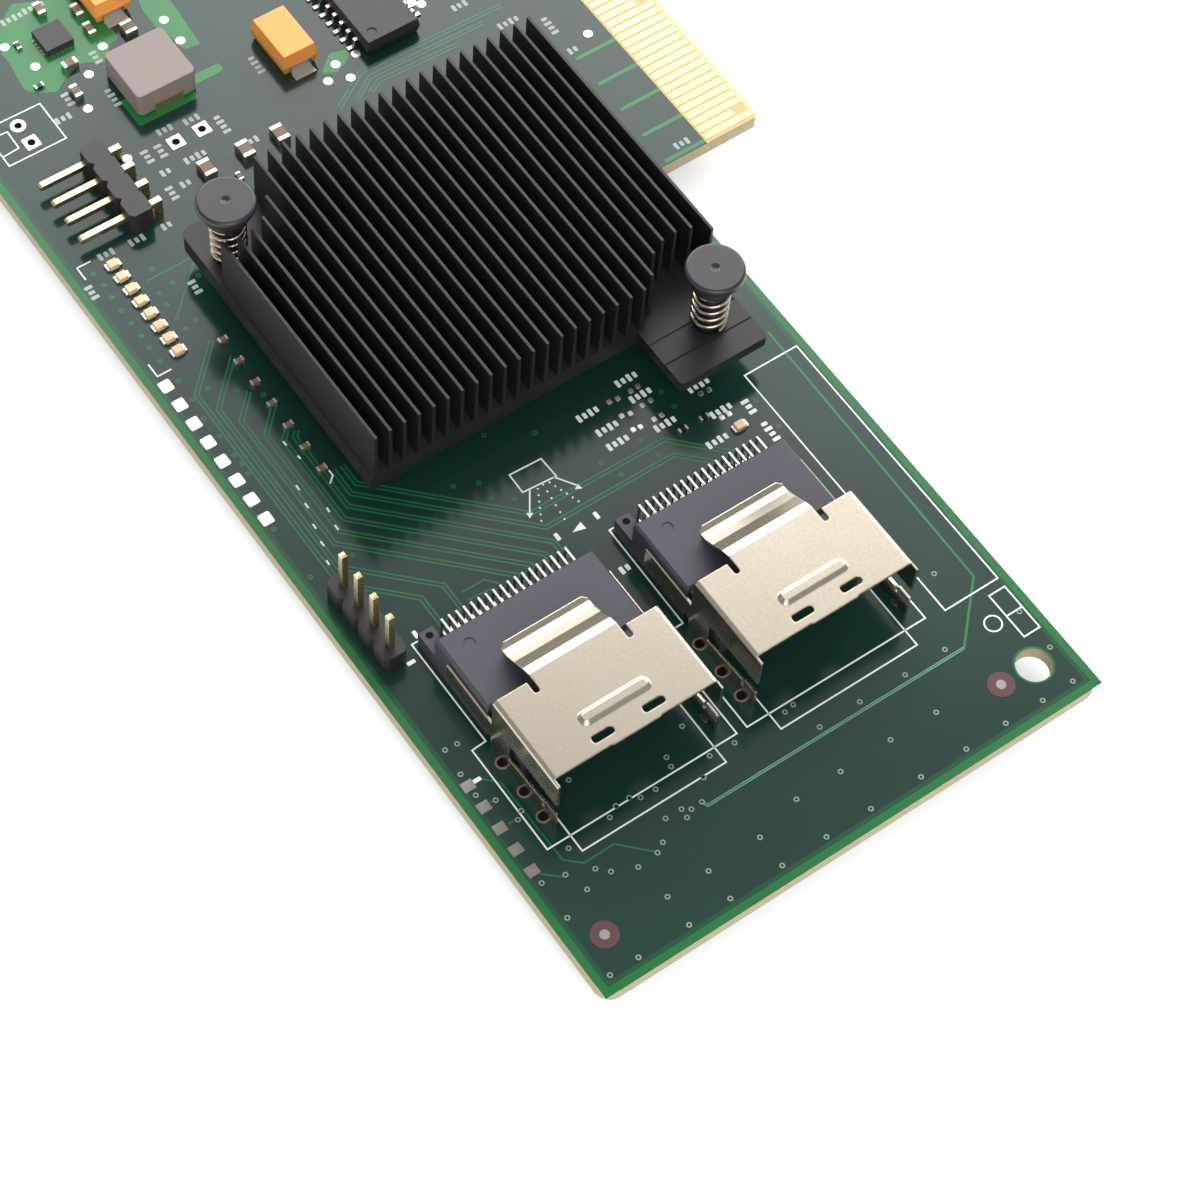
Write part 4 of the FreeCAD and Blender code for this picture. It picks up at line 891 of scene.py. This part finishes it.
@dataclass
class Legend(BoardLayer):
    """White printed outlines, rays and label blocks on the board."""

    line: float = 0.15
    dash_widening: float = 1.15
    pitch: float = 0.66
    stroke: float = 0.40
    tall: float = 0.85
    shorter_by: float = 0.2
    block_corner: float = 0.08
    ring_place: Place = (10.48, 51.47)
    ring_radius: float = 0.85
    ring_sides: int = 18
    ray_dots: int = 6
    ray_dot: Pad = Pad(0.17, 0.17)
    outlines: tuple[Path, ...] = (
        ((38.3, 7.6), (38.3, 5.47), (26.4, 5.5), (26.3, 3.95), (14.5, 3.95), (14.47, 24.8), (22.0, 24.8)),
        ((23.0, 6.44), (12.67, 6.44), (12.67, 22.27), (23.0, 22.27)),
        ((38.3, 29.7), (38.3, 27.6), (26.43, 27.48), (26.4, 25.96), (14.48, 25.96), (14.44, 46.55),
         (22.0, 46.55)),
        ((23.0, 28.42), (12.61, 28.42), (12.62, 44.16), (23.0, 44.16)),
        ((110.35, 2.44), (110.3, 8.9), (105.15, 8.9), (105.15, 2.44), (110.35, 2.44)),
        ((109.1, 2.44), (108.95, 4.4), (106.6, 4.35), (106.45, 2.44)),
        ((45.3, 48.6), (14.05, 48.6), (14.05, 54.9), (45.3, 54.9), (45.3, 48.6)),
        ((7.78, 53.0), (13.0, 53.0), (13.0, 54.87), (7.78, 54.87), (7.78, 53.0)),
        ((10.4, 53.0), (10.4, 54.87)), ((90.95, 3.2), (90.95, 1.66), (89.3, 1.66)),
        ((77.6, 1.55), (75.95, 1.55), (75.95, 3.1)),
        ((48.3, 26.79), (45.92, 26.89), (46.17, 23.21), (48.44, 23.26), (48.3, 26.79)),
        ((46.0, 23.9), (43.9, 22.45)), ((46.0, 26.6), (43.9, 28.0)),
        ((58.2, 9.4), (57.5, 9.4), (56.9, 8.7)),
    )
    dashes: tuple[Path, ...] = (
        ((58.48, 5.95), (57.85, 5.92)), ((56.37, 5.57), (55.74, 5.55)), ((54.05, 4.95), (53.46, 4.93)),
        ((52.08, 4.53), (51.48, 4.53)), ((50.07, 3.86), (49.52, 3.84)), ((54.84, 7.0), (54.29, 6.96)),
        ((52.84, 6.6), (52.2, 6.58)), ((63.24, 7.57), (62.69, 7.58)), ((61.15, 7.85), (60.71, 7.88)),
    )
    heads: tuple[tuple[Place, Place, float], ...] = (
        ((43.45, 22.15), (43.95, 22.48), 0.34), ((43.45, 28.15), (43.95, 27.8), 0.34),
        ((40.0, 24.6), (40.1, 25.9), 0.45),
    )
    rays: tuple[Path, ...] = (
        ((45.71, 24.62), (42.64, 22.89)), ((45.83, 25.31), (41.61, 24.81)),
        ((45.69, 25.95), (42.48, 27.04)),
    )
    labels: tuple[Mark, ...] = (
        ((49.98, 33.37), 4, True), ((47.64, 34.0), 4, True), ((45.78, 33.92), 4, True),
        ((43.31, 44.29), 4, True), ((40.73, 41.97), 4, True), ((40.39, 23.14), 1, True),
        ((40.28, 27.54), 1, True), ((34.09, 26.39), 2, True), ((51.22, 38.77), 4, True),
        ((48.98, 38.87), 4, True), ((46.87, 44.2), 4, True), ((45.01, 38.91), 4, True),
        ((42.2, 46.8), 3, False), ((38.81, 46.86), 4, False), ((39.0, 6.36), 1, True),
        ((36.79, 4.41), 1, False), ((23.61, 2.64), 1, False),
    )
    marks: tuple[Mark, ...] = (
        ((109.24, 11.51), 3, False), ((107.03, 15.38), 4, False), ((107.42, 9.88), 3, True),
        ((100.75, 17.56), 3, True), ((98.71, 15.87), 3, False), ((100.44, 20.48), 3, True),
        ((98.28, 22.72), 4, False), ((96.26, 18.34), 4, True), ((98.82, 14.39), 3, False),
        ((96.23, 14.9), 2, True), ((93.67, 14.09), 3, False), ((93.96, 15.81), 2, True),
        ((90.6, 11.55), 2, True), ((90.69, 8.23), 3, True), ((90.83, 4.86), 3, True),
        ((87.69, 1.37), 3, False), ((82.86, 10.03), 3, False), ((94.91, 23.96), 3, True),
        ((102.81, 29.64), 4, False), ((112.37, 16.59), 3, False), ((121.2, 12.01), 4, True),
        ((121.34, 14.6), 4, True), ((90.96, 57.56), 4, False), ((87.06, 57.71), 2, True),
        ((93.6, 54.2), 4, True), ((98.16, 51.25), 3, True), ((71.32, 60.05), 3, True),
    )

    def _mark(self, art: Artwork, place: Place, count: int, across: bool) -> None:
        """Print a short row of plain blocks where a part is labelled.

        Args:
            art: Artwork to print on.
            place: Middle of the row.
            count: Number of blocks.
            across: Whether the row runs across the card.
        """
        for i in range(count):
            step = (i - (count - 1) / 2.0) * self.pitch
            tall = self.tall - self.shorter_by * (i % 2)
            if across:
                art.block((place[0], place[1] + step), Pad(tall, self.stroke, self.block_corner))
            else:
                art.block((place[0] + step, place[1]), Pad(self.stroke, tall, self.block_corner))

    def build(self) -> None:
        """Print every outline, dash, arrow head, ray and label."""
        art = self.art(Level.RAISED)
        for path in self.outlines:
            closed = path[0] == path[-1]
            art.ribbon(path[:-1] if closed else path, self.line, closed)
        for dash in self.dashes:
            art.ribbon(dash, self.line * self.dash_widening)
        art.ribbon(circle(self.ring_place, self.ring_radius, self.ring_sides), self.line, True)
        for tip, base, half in self.heads:
            along = Vector((tip[0] - base[0], tip[1] - base[1])).normalized() * half
            art.area([tip, (base[0] - along.y, base[1] + along.x),
                      (base[0] + along.y, base[1] - along.x)])
        for ray in self.rays:
            start, end = Vector(ray[0]), Vector(ray[1])
            for i in range(self.ray_dots):
                place = start.lerp(end, i / (self.ray_dots - 1))
                art.block((place.x, place.y), self.ray_dot)
        for mark in self.labels:
            self._mark(art, *mark)
        art.lay("printed_outlines", Stock.INK)
        art = self.art(Level.RAISED)
        for mark in self.marks:
            self._mark(art, *mark)
        art.lay("printed_marks", Stock.INK_THIN)


@dataclass
class Lands(BoardLayer):
    """Bare soldered pads: empty footprints and the pads under parts."""

    header_row: Row = Row(8, (74.54, 1.64), 2.52)
    header_pad: Pad = Pad(1.35, 1.25, 0.18)
    light_row: Row = Row(5, (23.55, 1.66), 2.50)
    light_pad: Pad = Pad(1.05, 1.20, 0.05)
    small: Path = (
        (49.99, 35.92), (49.86, 36.82), (49.89, 38.38), (49.96, 39.26), (47.92, 38.34), (47.96, 39.34),
        (48.04, 35.97), (47.81, 36.85), (46.16, 35.99), (46.06, 36.76), (46.03, 38.36), (46.0, 39.24),
        (45.97, 43.82), (45.86, 44.72), (42.61, 43.9), (42.58, 44.74),
    )
    small_pad: Pad = Pad(0.55, 0.50, 0.12)
    test_points: Path = (
        (118.37, 9.58), (114.57, 10.89), (113.19, 17.9), (110.84, 14.88), (107.15, 12.58), (112.8, 24.87),
        (109.6, 24.87), (98.54, 36.38), (98.58, 38.88), (96.28, 36.73), (97.14, 34.57), (101.13, 47.36),
        (100.42, 48.08), (99.69, 12.6), (87.95, 60.26),
    )
    test_point: Ring = Ring(0.5, 0.3, 16, 0)

    def build(self) -> None:
        """Lay the pads."""
        art = self.art(Level.SOLDER)
        for place in self.header_row.places():
            art.block(place, self.header_pad)
        for place in self.small:
            art.block(place, self.small_pad)
        for place in self.test_points:
            art.ring(place, self.test_point)
        art.lay("solder_pads", Stock.SOLDER, slot="tinned_lead")
        art = self.art(Level.RAISED)
        for place in self.light_row.places():
            art.block(place, self.light_pad)
        art.lay("light_footprint", Stock.PAD_TIN, slot="tinned_lead")


# ---- heat sink pins
@dataclass
class SprungPin:
    """Nylon push pin and its coil spring, turned about the pin's axis.

    The crown is given by (radius, depth below the top), the cap by (distance in from its
    edge, depth below the top) and the tip by (radius, height above its foot).
    """

    end: str
    bench: Bench
    sides: int = 72
    crown: Profile = ((0.0, 0.20), (0.16, 0.18), (0.32, 0.06), (0.44, 0.0), (0.52, 0.0))
    cap: Profile = ((0.36, 0.0), (0.30, 0.0), (0.17, 0.04), (0.06, 0.18), (0.0, 0.34), (0.0, 0.62),
                    (0.04, 0.70), (0.16, 0.76), (0.16, 0.98), (0.42, 1.45), (0.87, 1.92))
    neck_inset: float = 0.87
    neck_cut: float = 0.06
    shank: float = 1.2
    barb: float = 1.85
    barb_top: float = -0.835
    barb_bottom: float = -1.135
    tip: Profile = ((0.70, 0.1), (0.60, 0.0), (0.0, 0.0))
    wire: float = 0.50
    wire_sides: int = 14
    turns: float = 5.0
    steps_per_turn: int = 40

    def build(self) -> None:
        """Make the pin and its spring in the places of the construction's."""
        pin, spring = "push_pin_%s" % self.end, "push_pin_spring_%s" % self.end
        moulded = self._pin(pin, box_mm(spring)[1].z)
        self._stand(moulded, pin, "moulded", Stock.PIN_NYLON, "push_pin_grey")
        self._stand(self._spring(spring), spring, "wire", Stock.SPRING, "spring_steel")

    def _pin(self, node: str, shoulder: float) -> BMesh:
        """Turn the pin's profile round the origin's upright axis.

        Args:
            node: The construction's pin.
            shoulder: Height of the spring's top, under the cap.

        Returns:
            The pin's shape.
        """
        low, high = box_mm(node)
        edge = (high.x - low.x) / 2.0
        neck = edge - self.neck_inset
        profile = [(r, high.z - down) for r, down in self.crown]
        profile += [(edge - inset, high.z - down) for inset, down in self.cap]
        profile += [(neck, shoulder + self.neck_cut), (neck - self.neck_cut, shoulder),
                    (self.shank, shoulder), (self.shank, self.barb_top), (self.barb, self.barb_top),
                    (self.barb, self.barb_bottom)]
        profile += [(r, low.z + up) for r, up in self.tip]
        bm = bmesh.new()
        verts = [bm.verts.new((r, 0.0, z)) for r, z in profile]
        edges = [bm.edges.new(pair) for pair in zip(verts, verts[1:])]
        bmesh.ops.spin(bm, geom=verts + edges, cent=(0, 0, 0), axis=(0, 0, 1), dvec=(0, 0, 0),
                       angle=2 * math.pi, steps=self.sides, use_merge=True, use_duplicate=False)
        bmesh.ops.remove_doubles(bm, verts=bm.verts[:], dist=SAME_PLACE_MM)
        return bm

    def _spring(self, node: str) -> BMesh:
        """Wind round wire up the origin's upright axis.

        Args:
            node: The construction's spring.

        Returns:
            The spring's shape.
        """
        low, high = box_mm(node)
        radius = (high.x - low.x - self.wire) / 2.0
        climb = high.z - low.z - self.wire
        steps = int(self.turns * self.steps_per_turn)
        bm = bmesh.new()
        ring = bmesh.ops.create_circle(bm, cap_ends=True, segments=self.wire_sides,
                                       radius=self.wire / 2.0)["verts"]
        bmesh.ops.rotate(bm, cent=(0, 0, 0), matrix=Matrix.Rotation(math.pi / 2, 3, "X"), verts=ring)
        bmesh.ops.translate(bm, vec=(radius, 0, low.z + self.wire / 2.0), verts=ring)
        bmesh.ops.spin(bm, geom=bm.verts[:] + bm.edges[:] + bm.faces[:], cent=(0, 0, 0),
                       axis=(0, 0, 1), dvec=(0, 0, climb / steps), angle=2 * math.pi * self.turns,
                       steps=steps, use_merge=False, use_duplicate=False)
        return bm

    def _stand(self, bm: BMesh, node: str, made: str, stock: Stock, slot: str) -> None:
        """Stand a turned shape in place of its construction node.

        Args:
            bm: The shape, round the origin's upright axis.
            node: The construction node.
            made: Last word of the piece's name.
            stock: Its finish.
            slot: The record's material slot.
        """
        low, high = box_mm(node)
        bmesh.ops.recalc_face_normals(bm, faces=bm.faces[:])
        bmesh.ops.translate(bm, vec=((low.x + high.x) / 2.0, (low.y + high.y) / 2.0, 0.0),
                            verts=bm.verts[:])
        self.bench.piece("%s_%s" % (node, made), bm, [stock], slot, [node], True)


# ---- studio
@dataclass
class Studio:
    """Camera, pale floor and soft lights."""

    eye: Point = (190.32, -144.63, 259.27)
    right: Point = (0.57774879, 0.81429168, 0.05599463)
    forward: Point = (-0.37954349, 0.32875751, -0.86479202)
    lens: float = 97.27
    sensor: float = 36.0
    clip: Span = (10.0, 20000.0)
    floor_drop: float = 0.02
    floor_half: float = 3000.0
    floor_grey: float = 0.9
    floor_glow: float = 0.4
    tent: float = 0.5
    brightest: Point = (-1.0, 0.8, 0.0)
    panel: float = 3.45
    panel_span: Span = (0.615, 0.80)
    flank: float = 3.5
    flank_span: Span = (0.84, 1.0)
    rise_span: Span = (0.15, 0.45)
    fill: float = 7.0
    fill_size: float = 800.0
    fill_from: Point = (0.75, -0.35, 0.65)
    fill_distance: float = 1100.0
    card_middle: Point = (45.0, -30.0, 0.0)

    def build(self) -> None:
        """Set up everything round the card."""
        self._camera()
        self._floor()
        self._tent()
        self._lamp()

    @staticmethod
    def _stand(name: str, data: bpy.types.ID) -> bpy.types.Object:
        """Put an object in the scene.

        Args:
            name: Its name.
            data: Its mesh, camera or light.

        Returns:
            The object.
        """
        obj = bpy.data.objects.new(name, data)
        bpy.context.scene.collection.objects.link(obj)
        return obj

    def _camera(self) -> None:
        """Stand the camera over the free end, looking down the card."""
        data = bpy.data.cameras.new("view")
        data.lens = self.lens
        data.sensor_width = self.sensor
        data.sensor_fit = "HORIZONTAL"
        data.clip_start, data.clip_end = (reach * MM for reach in self.clip)
        camera = self._stand("view", data)
        right = Vector(self.right).normalized()
        back = -Vector(self.forward).normalized()
        turn = Matrix((right, back.cross(right), back)).transposed().to_4x4()
        camera.matrix_world = Matrix.Translation(Vector(self.eye) * MM) @ turn
        bpy.context.scene.camera = camera

    def _floor(self) -> None:
        """Lay a wide pale floor just under the card."""
        low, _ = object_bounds()
        bm = bmesh.new()
        bmesh.ops.create_grid(bm, x_segments=2, y_segments=2, size=self.floor_half * MM)
        bmesh.ops.translate(bm, vec=(0, 0, low[2] - self.floor_drop * MM), verts=bm.verts[:])
        mesh = bpy.data.meshes.new("floor")
        bm.to_mesh(mesh)
        bm.free()
        floor = self._stand("floor", mesh)
        paper = bpy.data.materials.new("white paper sweep")
        paper.use_nodes = True
        grey = self.floor_grey
        Nodes(paper.node_tree).surface(
            {"Base Color": (grey, grey, grey, 1.0), "Roughness": 0.9, "Specular IOR Level": 0.1,
             "Emission Color": WHITE, "Emission Strength": self.floor_glow})
        mesh.materials.append(paper)
        floor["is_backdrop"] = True

    def _tent(self) -> None:
        """Surround the card with a pale tent that is brightest behind the bracket."""
        world = bpy.data.worlds.new("pale tent")
        bpy.context.scene.world = world
        world.use_nodes = True
        nodes = Nodes(world.node_tree)
        heading = nodes.add("ShaderNodeTexCoord", {}).outputs["Generated"]
        behind = nodes.add("ShaderNodeVectorMath", {0: heading, 1: self.brightest},
                           operation="DOT_PRODUCT").outputs["Value"]
        panel = nodes.remap(behind, 0.0, self.panel, self.panel_span)
        flank = nodes.remap(behind, 0.0, self.flank, self.flank_span)
        above = nodes.remap(nodes.upward(heading), 0.0, 1.0, self.rise_span, "SMOOTHSTEP")
        extra = nodes.maths("MULTIPLY", nodes.maths("ADD", panel, flank), above)
        strength = nodes.maths("ADD", extra, self.tent)
        glow = nodes.add("ShaderNodeBackground", {"Color": WHITE, "Strength": strength})
        nodes.add("ShaderNodeOutputWorld", {"Surface": glow.outputs[0]})

    def _lamp(self) -> None:
        """Add a weak lamp in front of the card."""
        data = bpy.data.lights.new("front fill", "AREA")
        data.shape = "SQUARE"
        data.size = self.fill_size * MM
        data.energy = self.fill
        lamp = self._stand("front fill", data)
        middle = Vector(self.card_middle) * MM
        lamp.location = middle + Vector(self.fill_from).normalized() * self.fill_distance * MM
        lamp.rotation_euler = (middle - lamp.location).to_track_quat("-Z", "Y").to_euler()


# ---- the card
class Card:
    """The whole card: finishes on the construction, and the pieces laid on it."""

    finishes: dict[Stock, tuple[str, ...]] = {
        Stock.BOARD: ("circuit_board",),
        Stock.GOLD: ("edge_contacts_component_side", "edge_contacts_solder_side"),
        Stock.CHIP: ("controller_chip", "memory_chip", "regulator_chip"),
        Stock.PAD: ("thermal_pad",),
        Stock.SINK: ("heatsink",),
        Stock.PIN_NYLON: ("push_pin_front", "push_pin_rear"),
        Stock.SPRING: ("push_pin_spring_front", "push_pin_spring_rear"),
        Stock.HOUSING: ("port_a_housing", "port_b_housing"),
        Stock.NICKEL: ("port_a_shell", "port_b_shell"),
        Stock.TIN: ("port_a_leads", "port_b_leads", "tantalum_terminals", "memory_chip_leads",
                    "regulator_lands"),
        Stock.HEADER_DARK: ("upright_header_block",),
        Stock.PIN_GOLD: ("upright_header_pins", "side_header_pins"),
        Stock.HEADER: ("side_header_block",),
        Stock.FERRITE: ("power_inductor",),
        Stock.STRAP: ("power_inductor_terminals",),
        Stock.TANTALUM: ("tantalum_capacitors",),
        Stock.CERAMIC: ("ceramic_capacitors", "underside_capacitors"),
        Stock.SOLDER: ("ceramic_capacitor_ends", "chip_resistor_ends", "status_light_terminals",
                       "underside_capacitor_ends"),
        Stock.RESISTOR: ("chip_resistors",),
        Stock.LENS: ("status_lights",),
        Stock.STEEL: ("bracket", "bracket_screws"),
    }

    def __init__(self) -> None:
        """Read the board's place and open the workbench."""
        self.palette = Palette()
        self.bench = Bench(self.palette)
        self.deck = Deck.read()

    def build(self) -> None:
        """Dress every node, then add the pieces in order."""
        for stock, nodes in self.finishes.items():
            for node in nodes:
                self.palette.dress(node, stock)
        for layers in (Tracks, Holes, Legend, Lands):
            layers(self.deck, self.bench).build()
        for end in ("front", "rear"):
            SprungPin(end, self.bench).build()


def main() -> None:
    """Build the studio, then the card."""
    logging.basicConfig(level=logging.INFO, format="%(name)s %(message)s")
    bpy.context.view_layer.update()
    Studio().build()
    Card().build()


if __name__ == "__main__":
    bpy.context.scene.view_settings.view_transform = "Standard"
    main()
